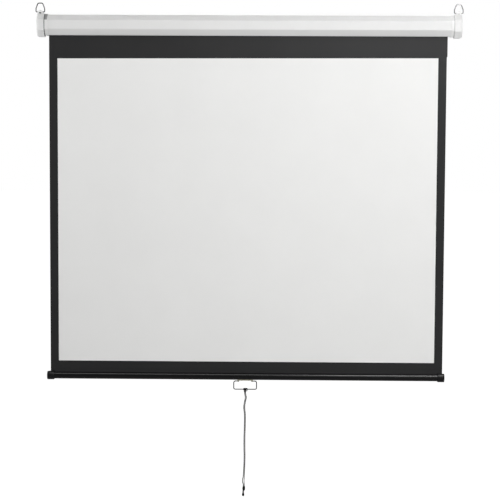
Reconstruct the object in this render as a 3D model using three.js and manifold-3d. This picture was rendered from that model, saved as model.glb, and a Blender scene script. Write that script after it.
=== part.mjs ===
// A pull-down projection screen, drawn right out of its case, in millimetres.
// X runs along the case, -Y faces the viewer, +Y faces the wall and +Z is up.
// The origin lies midway between the hanger rings, where two hooks would carry them.
import * as THREE from "three";
import { mergeVertices } from "three/addons/utils/BufferGeometryUtils.js";
import Module from "manifold-3d";

// Fits and cuts
const restGap = 0.3; // between a piece and the piece that it rests or turns in
const cutOverrun = 2; // how far a cutting solid runs past the face that it cuts
const screwHeadGap = 0.1; // under a screw's head
const mergeShare = 0.0003; // points nearer than this share of the fit gap become one

// Case: an octagonal tube of folded sheet steel, open along a slot underneath
const overallWidth = 1670; // over both end caps
const caseHeight = 79;
const caseDepth = 79;
const caseChamfer = 22.25;
const caseWall = 0.8;
const lipRadius = 1.9; // the rolled edges of the slot
const lipDrop = 0.9; // how far they hang below the bottom flat
const slotAheadOfSheet = 3.1;
const slotBehindSheet = 16;

// End caps
const capBodyLength = 30;
const capProud = 3.5; // how far the cap stands out of the case, front and back
const capRise = 5;
const capDrop = 7;
const capEndWall = 3;
const capSkirtWall = 5;
const capCornerRound = 4;
const capEdgeBevel = 2.6;
const capOuterRound = 8; // of the edge round the cap's outer face
const caseSeatDepth = 12; // from the cap's outer face to the end of the case
const grooveWidth = 3;
const grooveWall = 1.2;
const collarLength = 11;
const collarWall = 2;
const collarBevel = 0.8;
const bossLength = 12;
const bossRadius = 10.5;

// Hanging ears on the caps, and the wire rings in them
const earWidth = 22;
const earInset = 0.5; // from the cap's outer face
const earThickness = 10;
const earRise = 13.5; // of the ear's top, above the top of the cap
const ringPivotRise = 6.5; // of the hole for the ring, above the top of the cap
const ringWire = 4;
const ringFootHalf = 17;
const ringShoulderHeight = 14;
const ringTopHalf = 9;
const ringHeight = 34.5; // from the pivot to the middle of the top wire
const ringInsertion = 5; // of each wire end in the ear
const ringFootBend = 3.5;
const ringShoulderBend = 8;
const ringTopBend = 6;
const earSlotRise = 2.7; // of the slot's middle, above the top of the cap
const earSlotWidth = 9;
const earSlotRadius = 2.1;
const earSlotDepth = 7;

// Screws that hold the caps on the case, from behind
const capScrewRadius = 1.7;
const capScrewHeadRadius = 3.2;
const capScrewLength = 9;
const capScrewRise = 9; // above and below the middle of the case
const headTopShare = 0.8; // of a screw head's radius, on its flat top

// Sheet
const sheetThickness = 0.4;
const sheetInset = 52; // of its edges from the ends of the caps, on average
const sheetOffset = -5; // to the left, because the roller's bearing end takes more room
const leaderStep = 2.5; // the leader's right edge stands out past the sheet's
const leaderDrop = 123; // from the middle of the case to the end of the leader's full width
const narrowLeader = 5; // from there to the top of the white area
const whiteHeight = 1205;
const sideBorder = 33;
const lowerBorderDrop = 60; // from the white area to the middle of the bar
const maskThickness = 0.1;

// Roller
const rollerBehind = 8.5; // its axis lies behind the middle of the case
const rollerRadius = 19;
const rollerWall = 1;
const wrapTurns = 2;
const plugFlangeStart = 23; // from the cap's outer face
const plugFlangeLength = 4;
const plugSpigotLength = 20;

// Fixed shaft, spring and bearing
const shaftRadius = 5;
const shaftLength = 390;
const tongueStart = 3.5; // from the cap's outer face
const tongueThickness = 4.6;
const anchorStart = 60; // from the cap's outer face
const anchorLength = 12;
const anchorRadius = 13.5;
const springRadius = 11;
const springWire = 2.4;
const springCurls = 22;
const springEndRoom = 15; // from the drive plug to the end of the shaft
const drivePlugLength = 12;
const gudgeonRadius = 4;
const gudgeonStart = 5; // from the cap's outer face
const gudgeonSeatDepth = 12; // in the idler plug
const bushWall = 3;
const bushFlange = 1.6;

// Ratchet wheel and pawls
const ratchetStart = 17; // from the cap's outer face
const ratchetThickness = 5;
const ratchetRadius = 9;
const notchFloor = 6.4; // the height of the notch's floor above the roller's axis
const notchLeft = -3.7;
const notchRight = 1.7;
const pawlThickness = 4.4;
const pawlPinBehind = 11; // places of the pawl's pin, from the roller's axis
const pawlPinAbove = 13;
const pawlPinRadius = 1.6;
const pawlEyeRadius = 3.4;
const pawlReach = 12;
const pawlNoseLength = 3;
const pawlNoseDrop = 3.5;
const pawlArmHalf = 1.5;
const pinSeatDepth = 3;

// Weight bar
const barRadius = 13.5;
const barOverhang = 6.5; // past each edge of the sheet
const barOffset = -2.5; // from the middle of the sheet
const barWall = 1.2;
const barSlotHalf = 0.9;
const splineRadius = 3;
const splineHeight = 8.6; // above the bar's middle
const splineInset = 3; // of its ends from the edges of the sheet
const barCapRadius = 17;
const barCapSleeve = 24;
const barCapEnd = 4;
const barCapBevel = 2.2;
const barCapSlitRoom = 0.9; // between the sheet's edge and the end of the cap's slit

// Handle and its bracket
const handleOffset = -1; // from the bar's middle
const bracketHalfLength = 31;
const bracketHalfDepth = 7;
const bracketThickness = 1.8;
const lugInner = 26.5; // from the bracket's middle
const lugThickness = 3;
const lugRadius = 4;
const handlePivotDrop = 4.8; // below the underside of the bar
const handleWire = 4;
const handleHalfWidth = 45.6;
const handleHeight = 33;
const handleTopBend = 7;
const handleBottomBend = 6;
const handleInsertion = 2.5; // past each lug
const bracketScrewPlace = 14; // from the bracket's middle
const bracketScrewRadius = 1.5;
const bracketScrewHeadRadius = 3;
const bracketScrewHeadHeight = 1.4;
const bracketScrewDepth = 5; // into the bar

// Pull cord: one doubled string on the handle, knotted twice at its lower end
const strandDiameter = 3.2;
const strandSteps = 38;
const strandSides = 8;
const hitchLength = 16;
const hitchWall = 3.2;
const hitchRound = 1.2;
const lowerKnotRadius = 6;
const lowerKnotHeight = 19;
const endKnotRadius = 5.2;
const endKnotHeight = 24;
const endKnotNeck = 1.7;
// From the underside of the hitch, in the part's directions, chosen by hand
const strandLeftRoute = [
  [-1.75, 0, 0],
  [-1.75, 0, -4],
  [-1.6, -0.6, -10],
  [-0.7, -0.9, -17],
  [1.1, -0.6, -27],
  [-2, -0.5, -44],
  [-5.2, -0.3, -66.5],
  [-2.5, -0.4, -95],
  [-2.9, -0.3, -160],
  [-3.6, -0.3, -183],
  [-3.6, -0.3, -232],
  [-2.9, -0.5, -261],
  [-3.3, -0.5, -294],
  [-4.2, -0.4, -315],
  [-5.9, -0.3, -346],
  [-9.1, 0, -368],
  [-6.2, 0, -379.5],
  [-5.3, 0, -383],
  [-5.3, 0, -386.6],
];
const strandRightRoute = [
  [1.75, 0, 0],
  [1.75, 0, -4],
  [2.1, 0.5, -10],
  [3.1, 0.9, -17],
  [5.1, 0.6, -27],
  [1.8, 0.6, -44],
  [-1.2, 0.4, -66.5],
  [1.3, 0.5, -95],
  [0.9, 0.4, -160],
  [0.2, 0.3, -183],
  [0.3, 0.3, -232],
  [0.8, 0.5, -261],
  [0.4, 0.6, -294],
  [-0.3, 0.5, -315],
  [-1.7, 0.3, -346],
  [-2.6, 0, -368],
  [-1.9, 0, -379.5],
  [-1.7, 0, -383],
  [-1.7, 0, -386.6],
];
const lowerKnotPlace = [-3.5, 0, -386.6];
const endKnotPlace = [-6, 0, -405.9];

// Steps and sides of the round shapes
const roundSides = 32;
const innerSides = 24;
const smallSides = 14;
const screwSides = 10;
const wireSides = 8;
const bendSteps = 5;
const bevelSteps = 2;
const capRoundSteps = 5;
const earSteps = 10;
const springSides = 5;
const springCurlSteps = 8;

// Sizes worked out from those above
const halfWidth = overallWidth / 2;
const caseHalfHeight = caseHeight / 2;
const caseHalfDepth = caseDepth / 2;
const capBack = caseHalfDepth + capProud;
const capTop = caseHalfHeight + capRise;
const earTop = capTop + earRise;
const ringPivotHeight = capTop + ringPivotRise;
const earSlotHeight = capTop + earSlotRise;
const sheetWidth = overallWidth - 2 * sheetInset;
const whiteWidth = sheetWidth - 2 * sideBorder;
const barLength = sheetWidth + 2 * barOverhang;
const splineLength = sheetWidth - 2 * splineInset;
const whiteTop = leaderDrop + narrowLeader;
const whiteBottom = whiteTop + whiteHeight;
const barDepth = whiteBottom + lowerBorderDrop;
const wrapInner = rollerRadius + restGap;
const wrapOuter = wrapInner + wrapTurns * sheetThickness;
const sheetY = rollerBehind - wrapOuter - restGap - sheetThickness / 2;
const rollerHalfLength = halfWidth - plugFlangeStart - plugFlangeLength;
const rollerBore = rollerRadius - rollerWall;
const handleDrop = barRadius + handlePivotDrop;
const earPlace = halfWidth - earInset - earWidth / 2;
const hitchRadius = handleWire / 2 + restGap + hitchWall;

// Shapes

const wasm = await Module();
wasm.setup();

/** A closed geometry as a solid that can be joined and cut. */
function solid(geometry) {
  const bare = geometry.index ? geometry.toNonIndexed() : geometry.clone();
  bare.deleteAttribute("normal");
  bare.deleteAttribute("uv");
  const merged = mergeVertices(bare, restGap * mergeShare);
  const { array: vertProperties } = merged.attributes.position;
  const triVerts = new Uint32Array(merged.index.array);
  return new wasm.Manifold(new wasm.Mesh({ numProp: 3, vertProperties, triVerts }));
}

/** A joined and cut solid back as a geometry. */
function geometryOf(body) {
  const { vertProperties, triVerts } = body.getMesh();
  const geometry = new THREE.BufferGeometry();
  geometry.setAttribute("position", new THREE.BufferAttribute(new Float32Array(vertProperties), 3));
  geometry.setIndex(new THREE.BufferAttribute(new Uint32Array(triVerts), 1));
  geometry.computeVertexNormals();
  return geometry;
}

function joined(geometries) {
  return geometries.map(solid).reduce((whole, piece) => whole.add(piece));
}

/** The first list of geometries joined, without the second list. */
function carved(kept, removed) {
  return geometryOf(removed.map(solid).reduce((rest, piece) => rest.subtract(piece), joined(kept)));
}

const xAxis = new THREE.Vector3(1, 0, 0);
const yAxis = new THREE.Vector3(0, 1, 0);
const zAxis = new THREE.Vector3(0, 0, 1);

/** Turns what is drawn in XY and runs along Z into what is drawn in YZ and runs along X. */
const drawnInYZ = new THREE.Matrix4().makeBasis(yAxis, zAxis, xAxis);
/** The same for XZ and Y. */
const drawnInXZ = new THREE.Matrix4().makeBasis(xAxis, zAxis, yAxis.clone().negate());
/** Lays a turned shape, whose axis is Y, along X. */
const layAlongX = new THREE.Matrix4().makeBasis(yAxis, xAxis, zAxis.clone().negate());
/** Lays it along Z. */
const standAlongZ = new THREE.Matrix4().makeBasis(xAxis, zAxis, yAxis.clone().negate());

function shapeOf(points) {
  return new THREE.Shape(points.map(([across, up]) => new THREE.Vector2(across, up)));
}

/** An outline in YZ, run from one place along X to another. */
function alongX(shape, from, to, bevel = 0, steps = bevelSteps) {
  const start = Math.min(from, to);
  const length = Math.abs(to - from);
  const settings = { depth: length - 2 * bevel, bevelEnabled: bevel > 0, steps: 1 };
  Object.assign(settings, { bevelThickness: bevel, bevelSize: bevel });
  Object.assign(settings, { bevelOffset: -bevel, bevelSegments: steps });
  const geometry = new THREE.ExtrudeGeometry(shape, settings);
  return geometry.translate(0, 0, bevel).applyMatrix4(drawnInYZ).translate(start, 0, 0);
}

/** An outline in XZ, run from one place along Y to another. */
function alongY(shape, from, to) {
  const settings = { depth: to - from, bevelEnabled: false, steps: 1 };
  const geometry = new THREE.ExtrudeGeometry(shape, settings);
  return geometry.applyMatrix4(drawnInXZ).translate(0, to, 0);
}

/** A box between two corners. */
function boxBetween([x0, y0, z0], [x1, y1, z1]) {
  const geometry = new THREE.BoxGeometry(Math.abs(x1 - x0), Math.abs(y1 - y0), Math.abs(z1 - z0));
  return geometry.translate((x0 + x1) / 2, (y0 + y1) / 2, (z0 + z1) / 2);
}

/** A turned shape from its (radius, height) outline, whatever way round that is listed. */
function turned(outline, sides) {
  const points = outline.map(([radius, height]) => new THREE.Vector2(radius, height));
  if (THREE.ShapeUtils.area(points) < 0) points.reverse();
  return new THREE.LatheGeometry(points, sides);
}

/** A round bar along X, round a given axis. */
function barAlongX(radius, from, to, sides, [y, z] = [0, 0]) {
  const outline = [
    [0, from],
    [radius, from],
    [radius, to],
    [0, to],
  ];
  return turned(outline, sides).applyMatrix4(layAlongX).translate(0, y, z);
}

/** A round bar along Y, round a given axis. */
function barAlongY(radius, from, to, sides, [x, z]) {
  const geometry = new THREE.CylinderGeometry(radius, radius, to - from, sides);
  return geometry.translate(x, (from + to) / 2, z);
}

/** A round bar along Z, round a given axis. */
function barAlongZ(radius, from, to, sides, [x, y]) {
  const geometry = new THREE.CylinderGeometry(radius, radius, to - from, sides);
  return geometry.applyMatrix4(standAlongZ).translate(x, y, (from + to) / 2);
}

/** A sleeve along X. */
function sleeveAlongX(outer, inner, from, to, sides) {
  const outline = [
    [inner, from],
    [outer, from],
    [outer, to],
    [inner, to],
    [inner, from],
  ];
  return turned(outline, sides).applyMatrix4(layAlongX);
}

/** Points of an arc, both ends included. */
function arc([across, up], radius, fromAngle, toAngle, steps) {
  return Array.from({ length: steps + 1 }, (_, k) => {
    const angle = fromAngle + ((toAngle - fromAngle) * k) / steps;
    return [across + radius * Math.cos(angle), up + radius * Math.sin(angle)];
  });
}

/** A path of straight runs whose corners are bent to their own radii. */
function bentPath(corners, radii) {
  const path = [corners[0]];
  for (let k = 1; k < corners.length - 1; k += 1) {
    const back = corners[k - 1].clone().sub(corners[k]).normalize();
    const on = corners[k + 1].clone().sub(corners[k]).normalize();
    const half = back.angleTo(on) / 2;
    const turn = Math.PI - 2 * half;
    const inward = back.clone().add(on).normalize();
    const middle = corners[k].clone().addScaledVector(inward, radii[k - 1] / Math.sin(half));
    const first = corners[k].clone().addScaledVector(back, radii[k - 1] / Math.tan(half)).sub(middle);
    const last = corners[k].clone().addScaledVector(on, radii[k - 1] / Math.tan(half)).sub(middle);
    for (let s = 0; s <= bendSteps; s += 1) {
      const share = s / bendSteps;
      const point = middle.clone();
      point.addScaledVector(first, Math.sin((1 - share) * turn) / Math.sin(turn));
      path.push(point.addScaledVector(last, Math.sin(share * turn) / Math.sin(turn)));
    }
  }
  return [...path, corners[corners.length - 1]];
}

/** A curve that stops at each point of a bent path, so that a tube has its rings there. */
class WirePath extends THREE.Curve {
  constructor(points) {
    super();
    this.points = points;
  }

  getPointAt(share, target = new THREE.Vector3()) {
    const at = share * (this.points.length - 1);
    const before = Math.min(Math.floor(at), this.points.length - 2);
    return target.lerpVectors(this.points[before], this.points[before + 1], at - before);
  }

  getTangentAt(share, target = new THREE.Vector3()) {
    const at = Math.round(share * (this.points.length - 1));
    const runs = [at - 1, at].filter((k) => k >= 0 && k < this.points.length - 1);
    target.set(0, 0, 0);
    runs.forEach((k) => target.add(this.points[k + 1].clone().sub(this.points[k]).normalize()));
    return target.normalize();
  }
}

/** A round tube along a curve. */
function tube(curve, diameter, sides, steps) {
  const section = shapeOf(arc([0, 0], diameter / 2, 0, 2 * Math.PI, sides).slice(0, -1));
  return new THREE.ExtrudeGeometry(section, { steps, extrudePath: curve });
}

/** A wire bent in the XZ plane through the given (x, z) corners. */
function bentWire(corners, radii, diameter) {
  const points = bentPath(corners.map(([x, z]) => new THREE.Vector3(x, 0, z)), radii);
  return tube(new WirePath(points), diameter, wireSides, points.length - 1);
}

// Case

/** The octagon of the case, moved out by a distance on every side. */
function caseOutline(outward) {
  const depth = caseHalfDepth + outward;
  const height = caseHalfHeight + outward;
  const chamfer = caseChamfer + outward * (2 - Math.SQRT2);
  return octagon(depth, height, height, chamfer);
}

function octagon(depth, top, bottom, chamfer) {
  return [
    [-depth + chamfer, -bottom],
    [depth - chamfer, -bottom],
    [depth, -bottom + chamfer],
    [depth, top - chamfer],
    [depth - chamfer, top],
    [-depth + chamfer, top],
    [-depth, top - chamfer],
    [-depth, -bottom + chamfer],
  ];
}

const slotFront = sheetY - slotAheadOfSheet;
const slotBack = sheetY + slotBehindSheet;
const caseEnd = halfWidth - caseSeatDepth;
const collarEnd = halfWidth - capBodyLength - grooveWidth - collarLength;
const collarMiddle = collarEnd + collarLength / 2;

function housing() {
  const outer = caseOutline(0);
  const inner = caseOutline(-caseWall);
  // Both run from the slot's back edge round to its front edge, and back again inside
  const outside = [[slotBack, -caseHalfHeight], ...outer.slice(1), outer[0], [slotFront, -caseHalfHeight]];
  const floor = -caseHalfHeight + caseWall;
  const inside = [[slotBack, floor], ...inner.slice(1), inner[0], [slotFront, floor]].reverse();
  const shell = alongX(shapeOf([...outside, ...inside]), -caseEnd, caseEnd);
  const lipHeight = -caseHalfHeight + lipRadius - lipDrop;
  const lipEnd = collarEnd - restGap;
  const lips = [slotFront, slotBack].map((y) =>
    barAlongX(lipRadius, -lipEnd, lipEnd, smallSides, [y, lipHeight]),
  );
  return carved([shell, ...lips], screwHoles(caseHalfDepth - caseWall));
}

/** Cutters for the cap screws' holes, through the wall that starts at a given place along Y. */
function screwHoles(from) {
  const radius = capScrewRadius + restGap;
  const holes = [];
  for (const side of [-1, 1]) {
    for (const rise of [-capScrewRise, capScrewRise]) {
      const place = [side * collarMiddle, rise];
      holes.push(barAlongY(radius, from - cutOverrun, capBack + cutOverrun, smallSides, place));
    }
  }
  return holes;
}

// End caps

/** The cap's own octagon, or one that lies inside it. */
function capCorners(inward) {
  const depth = capBack - inward;
  const top = capTop - inward;
  const bottom = caseHalfHeight + capDrop - inward;
  const chamfer = caseChamfer + (capProud - inward) * (2 - Math.SQRT2);
  return octagon(depth, top, bottom, chamfer);
}

/** The cap's octagon with rounded corners. */
function capShape() {
  const corners = capCorners(0);
  const closed = [...corners, corners[0], corners[1]];
  const path = bentPath(
    closed.map(([across, up]) => new THREE.Vector3(across, up, 0)),
    closed.slice(2).map(() => capCornerRound),
  );
  return shapeOf(path.slice(1, -1).map((point) => [point.x, point.y]));
}

function earShape() {
  const half = earWidth / 2;
  const shoulder = earTop - half;
  const root = capTop - caseChamfer;
  return shapeOf([[-half, root], [half, root], ...arc([0, shoulder], half, 0, Math.PI, earSteps)]);
}

/** The cap's body: a short octagon with a small bevel inside and a well rounded edge outside. */
function capBody(at) {
  const plain = alongX(capShape(), at(0), at(capBodyLength), capEdgeBevel);
  const envelope = shapeOf(capCorners(0));
  const past = at(capBodyLength + capOuterRound);
  const rounded = alongX(envelope, at(0), past, capOuterRound, capRoundSteps);
  return geometryOf(solid(plain).intersect(solid(rounded)));
}

/** Cutters for the blind slot in the front of the ear. */
function earSlot(middle) {
  const reach = earSlotWidth / 2 - earSlotRadius;
  const front = -earThickness / 2;
  const ends = [front - cutOverrun, front + earSlotDepth];
  const rounds = [-reach, reach].map((across) =>
    barAlongY(earSlotRadius, ...ends, smallSides, [middle + across, earSlotHeight]),
  );
  const low = [middle - reach, ends[0], earSlotHeight - earSlotRadius];
  const high = [middle + reach, ends[1], earSlotHeight + earSlotRadius];
  return [...rounds, boxBetween(low, high)];
}

/** One end cap; bearing gives what is cut out of its boss. */
function endCap(side, bearing) {
  const at = (inward) => side * (halfWidth - inward);
  const grooveEnd = capBodyLength + grooveWidth;
  const sleeveEnd = grooveEnd + collarLength;
  const middle = side * earPlace;
  const groove = shapeOf(caseOutline(restGap + grooveWall));
  const neck = alongX(groove, at(capBodyLength - capEdgeBevel - cutOverrun), at(grooveEnd + collarWall));
  const collar = shapeOf(caseOutline(restGap + collarWall));
  const sleeve = alongX(collar, at(grooveEnd), at(sleeveEnd), collarBevel);
  const ear = alongY(earShape(), -earThickness / 2, earThickness / 2).translate(middle, 0, 0);
  const caseSeat = shapeOf(caseOutline(restGap));
  const hollows = [
    alongX(caseSeat, at(caseSeatDepth - restGap), at(sleeveEnd + cutOverrun)),
    alongX(shapeOf(capCorners(capSkirtWall + capProud)), at(capEndWall), at(caseSeatDepth + cutOverrun)),
  ];
  const shell = joined([capBody(at), neck, sleeve, ear]);
  const hollowed = hollows.map(solid).reduce((rest, piece) => rest.subtract(piece), shell);
  const bossEnds = [at(capEndWall - cutOverrun / 2), at(capEndWall + bossLength)];
  const boss = barAlongX(bossRadius, ...bossEnds, roundSides, [rollerBehind, 0]);
  const cuts = [
    ...ringHoles(middle),
    ...screwHoles(caseHalfDepth),
    ...earSlot(middle),
    bearing(at),
  ];
  const whole = hollowed.add(solid(boss));
  return geometryOf(cuts.map(solid).reduce((rest, piece) => rest.subtract(piece), whole));
}

function ringHoles(middle) {
  const inner = earWidth / 2 - ringInsertion - restGap;
  const outer = earWidth / 2 + cutOverrun;
  const place = [0, ringPivotHeight];
  return [-1, 1].map((side) =>
    barAlongX(ringWire / 2 + restGap, middle + side * inner, middle + side * outer, smallSides, place),
  );
}

/** The slot in the left cap's boss that keeps the shaft's tongue from turning. */
function tongueSlot(at) {
  const half = tongueThickness / 2 + restGap;
  const tall = shaftRadius + restGap;
  const deepest = capEndWall + restGap;
  return boxBetween(
    [at(deepest), rollerBehind - half, -tall],
    [at(capEndWall + bossLength + cutOverrun), rollerBehind + half, tall],
  );
}

/** The bore in the right cap's boss that holds the bush. */
function bushSeat(at) {
  const radius = gudgeonRadius + restGap + bushWall + restGap;
  const ends = [at(capEndWall + restGap), at(capEndWall + bossLength + cutOverrun)];
  return barAlongX(radius, ...ends, roundSides, [rollerBehind, 0]);
}

function hangerRing() {
  const end = earWidth / 2 - ringInsertion;
  const corners = [
    [-end, 0],
    [-ringFootHalf, 0],
    [-ringFootHalf, ringShoulderHeight],
    [-ringTopHalf, ringHeight],
    [ringTopHalf, ringHeight],
    [ringFootHalf, ringShoulderHeight],
    [ringFootHalf, 0],
    [end, 0],
  ];
  const bends = [ringFootBend, ringShoulderBend, ringTopBend];
  return bentWire(corners, [...bends, ...bends.toReversed()], ringWire);
}

/** A pan-head screw whose head stands at the origin and whose shank runs to -Y. */
function capScrew() {
  const headHeight = capProud - collarWall - screwHeadGap - 2 * restGap;
  const outline = [
    [0, headHeight],
    [capScrewHeadRadius * headTopShare, headHeight],
    [capScrewHeadRadius, headHeight / 2],
    [capScrewHeadRadius, 0],
    [capScrewRadius, 0],
    [capScrewRadius, -capScrewLength],
    [0, -capScrewLength - capScrewRadius],
  ];
  return turned(outline, screwSides);
}

// Roller, drawn round its own axis

function ratchetPlug() {
  const outerEnd = halfWidth - plugFlangeStart;
  const outline = [
    [shaftRadius + restGap, outerEnd],
    [rollerRadius, outerEnd],
    [rollerRadius, rollerHalfLength + restGap],
    [rollerBore - restGap, rollerHalfLength + restGap],
    [rollerBore - restGap, rollerHalfLength - plugSpigotLength],
    [shaftRadius + restGap, rollerHalfLength - plugSpigotLength],
    [shaftRadius + restGap, outerEnd],
  ];
  const body = turned(outline, innerSides).applyMatrix4(layAlongX).rotateZ(Math.PI);
  const seatEnds = [-outerEnd - cutOverrun, -outerEnd + pinSeatDepth];
  const seats = [-1, 1].map((way) => {
    const place = [-way * pawlPinBehind, way * pawlPinAbove];
    return barAlongX(pawlPinRadius + restGap, ...seatEnds, screwSides, place);
  });
  return carved([body], seats);
}

function idlerPlug() {
  const outerEnd = halfWidth - plugFlangeStart;
  const bore = gudgeonRadius + restGap;
  const boreEnd = outerEnd - gudgeonSeatDepth;
  const outline = [
    [0, rollerHalfLength - plugSpigotLength],
    [rollerBore - restGap, rollerHalfLength - plugSpigotLength],
    [rollerBore - restGap, rollerHalfLength + restGap],
    [rollerRadius, rollerHalfLength + restGap],
    [rollerRadius, outerEnd],
    [bore, outerEnd],
    [bore, boreEnd],
    [0, boreEnd],
  ];
  return turned(outline, innerSides).applyMatrix4(layAlongX);
}

function gudgeonPin() {
  const inner = halfWidth - plugFlangeStart - gudgeonSeatDepth + restGap;
  return barAlongX(gudgeonRadius, inner, halfWidth - gudgeonStart, innerSides);
}

function bearingBush() {
  const bore = gudgeonRadius + restGap;
  const outer = bore + bushWall;
  const seatEnd = halfWidth - capEndWall - 2 * restGap;
  const face = halfWidth - capEndWall - bossLength - restGap;
  const outline = [
    [bore, seatEnd],
    [outer, seatEnd],
    [outer, face],
    [outer + bushFlange, face],
    [outer + bushFlange, face - bushFlange],
    [bore, face - bushFlange],
    [bore, seatEnd],
  ];
  return turned(outline, innerSides).applyMatrix4(layAlongX);
}

const tongueEnd = ratchetStart + ratchetThickness + restGap;
const shaftEnd = halfWidth - shaftLength;
const drivePlugEnd = shaftEnd + springEndRoom;
const springStart = halfWidth - anchorStart - anchorLength - restGap;
const springEnd = drivePlugEnd + drivePlugLength + restGap;

/** The fixed shaft: round inside the roller, flat-sided where the ratchet and the cap hold it. */
function springShaft() {
  const rod = barAlongX(shaftRadius, -halfWidth + tongueStart, -shaftEnd, innerSides);
  const flats = [-1, 1].map((way) =>
    boxBetween(
      [-halfWidth, (way * tongueThickness) / 2, -shaftRadius - cutOverrun],
      [-halfWidth + tongueEnd, way * (shaftRadius + cutOverrun), shaftRadius + cutOverrun],
    ),
  );
  return carved([rod], flats);
}

function springAnchor() {
  const from = -halfWidth + anchorStart;
  return sleeveAlongX(anchorRadius, shaftRadius + restGap, from, from + anchorLength, innerSides);
}

function drivePlug() {
  const ends = [-drivePlugEnd - drivePlugLength, -drivePlugEnd];
  return sleeveAlongX(rollerBore - restGap, shaftRadius + restGap, ...ends, innerSides);
}

/** The winding spring, one open coil between the fixed anchor and the drive plug. */
class SpringPath extends THREE.Curve {
  getPoint(share, target = new THREE.Vector3()) {
    const angle = 2 * Math.PI * springCurls * share;
    const from = -springStart + springWire / 2;
    const to = -springEnd - springWire / 2;
    const x = from + (to - from) * share;
    return target.set(x, springRadius * Math.cos(angle), springRadius * Math.sin(angle));
  }
}

function liftSpring() {
  return tube(new SpringPath(), springWire, springSides, springCurls * springCurlSteps);
}

function ratchetWheel() {
  const from = -halfWidth + ratchetStart;
  const disc = barAlongX(ratchetRadius, from, from + ratchetThickness, innerSides);
  const half = tongueThickness / 2 + restGap;
  const tall = shaftRadius + restGap;
  const start = from - cutOverrun;
  const end = from + ratchetThickness + cutOverrun;
  const bore = boxBetween([start, -half, -tall], [end, half, tall]);
  const notches = [-1, 1].map((way) =>
    boxBetween(
      [start, way * notchLeft, way * notchFloor],
      [end, way * notchRight, way * (ratchetRadius + cutOverrun)],
    ),
  );
  return carved([disc], [bore, ...notches]);
}

/** A pawl, drawn round its pin: an eye, an arm along +Y and a nose that points down. */
function pawl() {
  const nose = pawlReach - pawlNoseLength;
  const arm = shapeOf([
    [0, -pawlArmHalf],
    [nose, -pawlArmHalf],
    [nose, -pawlNoseDrop],
    [pawlReach, -pawlNoseDrop],
    [pawlReach, pawlArmHalf],
    [0, pawlArmHalf],
  ]);
  const from = -halfWidth + ratchetStart + (ratchetThickness - pawlThickness) / 2;
  const to = from + pawlThickness;
  const eye = barAlongX(pawlEyeRadius, from, to, screwSides);
  const bore = barAlongX(pawlPinRadius + restGap, from - cutOverrun, to + cutOverrun, screwSides);
  return carved([alongX(arm, from, to), eye], [bore]);
}

function pawlPin() {
  const from = -halfWidth + ratchetStart - restGap;
  const to = -halfWidth + plugFlangeStart + pinSeatDepth - restGap;
  return barAlongX(pawlPinRadius, from, to, screwSides);
}

// Sheet, drawn from the middle of the case

function leader() {
  const half = sheetWidth / 2;
  const outline = shapeOf([
    [-half, 0],
    [-half, -whiteTop],
    [half, -whiteTop],
    [half, -leaderDrop],
    [half + leaderStep, -leaderDrop],
    [half + leaderStep, 0],
  ]);
  return alongY(outline, -sheetThickness / 2, sheetThickness / 2);
}

function whiteSheet() {
  const half = sheetWidth / 2;
  const thick = sheetThickness / 2;
  return boxBetween([-half, -thick, -whiteTop - restGap], [half, thick, -whiteBottom]);
}

function sideMask(side) {
  const front = -sheetThickness / 2;
  return boxBetween(
    [(side * whiteWidth) / 2, front - maskThickness, -whiteTop - restGap],
    [(side * sheetWidth) / 2, front, -whiteBottom],
  );
}

function lowerBorder() {
  const half = sheetWidth / 2;
  const thick = sheetThickness / 2;
  const end = -barDepth + splineHeight + splineRadius + restGap;
  return boxBetween([-half, -thick, -whiteBottom - restGap], [half, thick, end]);
}

// Weight bar, drawn round its own axis

/** The bar's section: a round tube with a keyhole on top for the sheet and its spline. */
function barSection() {
  const quarter = Math.PI / 2;
  const outerSpread = Math.asin(barSlotHalf / barRadius);
  const keyRadius = splineRadius + restGap;
  const keySpread = Math.asin(barSlotHalf / keyRadius);
  const key = [0, splineHeight];
  const outside = arc([0, 0], barRadius, quarter + outerSpread, 5 * quarter - outerSpread, roundSides);
  const keyhole = arc(key, keyRadius, quarter - keySpread, keySpread - 3 * quarter, smallSides);
  const section = shapeOf([...outside, ...keyhole]);
  const innerRadius = barRadius - barWall;
  const ribRadius = keyRadius + barWall;
  // Where the wall round the keyhole meets the bar's inner face
  const meetUp = (innerRadius ** 2 - ribRadius ** 2 + splineHeight ** 2) / (2 * splineHeight);
  const meetAcross = Math.sqrt(innerRadius ** 2 - meetUp ** 2);
  const wallAngle = Math.atan2(meetUp, meetAcross);
  const ribAngle = Math.atan2(meetUp - splineHeight, meetAcross);
  const wall = arc([0, 0], innerRadius, Math.PI - wallAngle, 4 * quarter + wallAngle, innerSides);
  const rib = arc(key, ribRadius, ribAngle, -Math.PI - ribAngle, screwSides).slice(1, -1);
  section.holes.push(new THREE.Path([...wall, ...rib].map(([y, z]) => new THREE.Vector2(y, z))));
  return section;
}

function weightBar() {
  const half = barLength / 2;
  const body = alongX(barSection(), -half, half);
  return carved([body], bracketScrewHoles(-barRadius + barWall + cutOverrun));
}

/** Cutters for the bracket screws' holes, up to a given height. */
function bracketScrewHoles(top) {
  const bottom = -barRadius - restGap - bracketThickness - cutOverrun;
  return [-1, 1].map((side) => {
    const place = [handleOffset + side * bracketScrewPlace, 0];
    return barAlongZ(bracketScrewRadius + restGap, bottom, top, smallSides, place);
  });
}

function spline() {
  return barAlongX(splineRadius, -splineLength / 2, splineLength / 2, smallSides, [0, splineHeight]);
}

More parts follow.
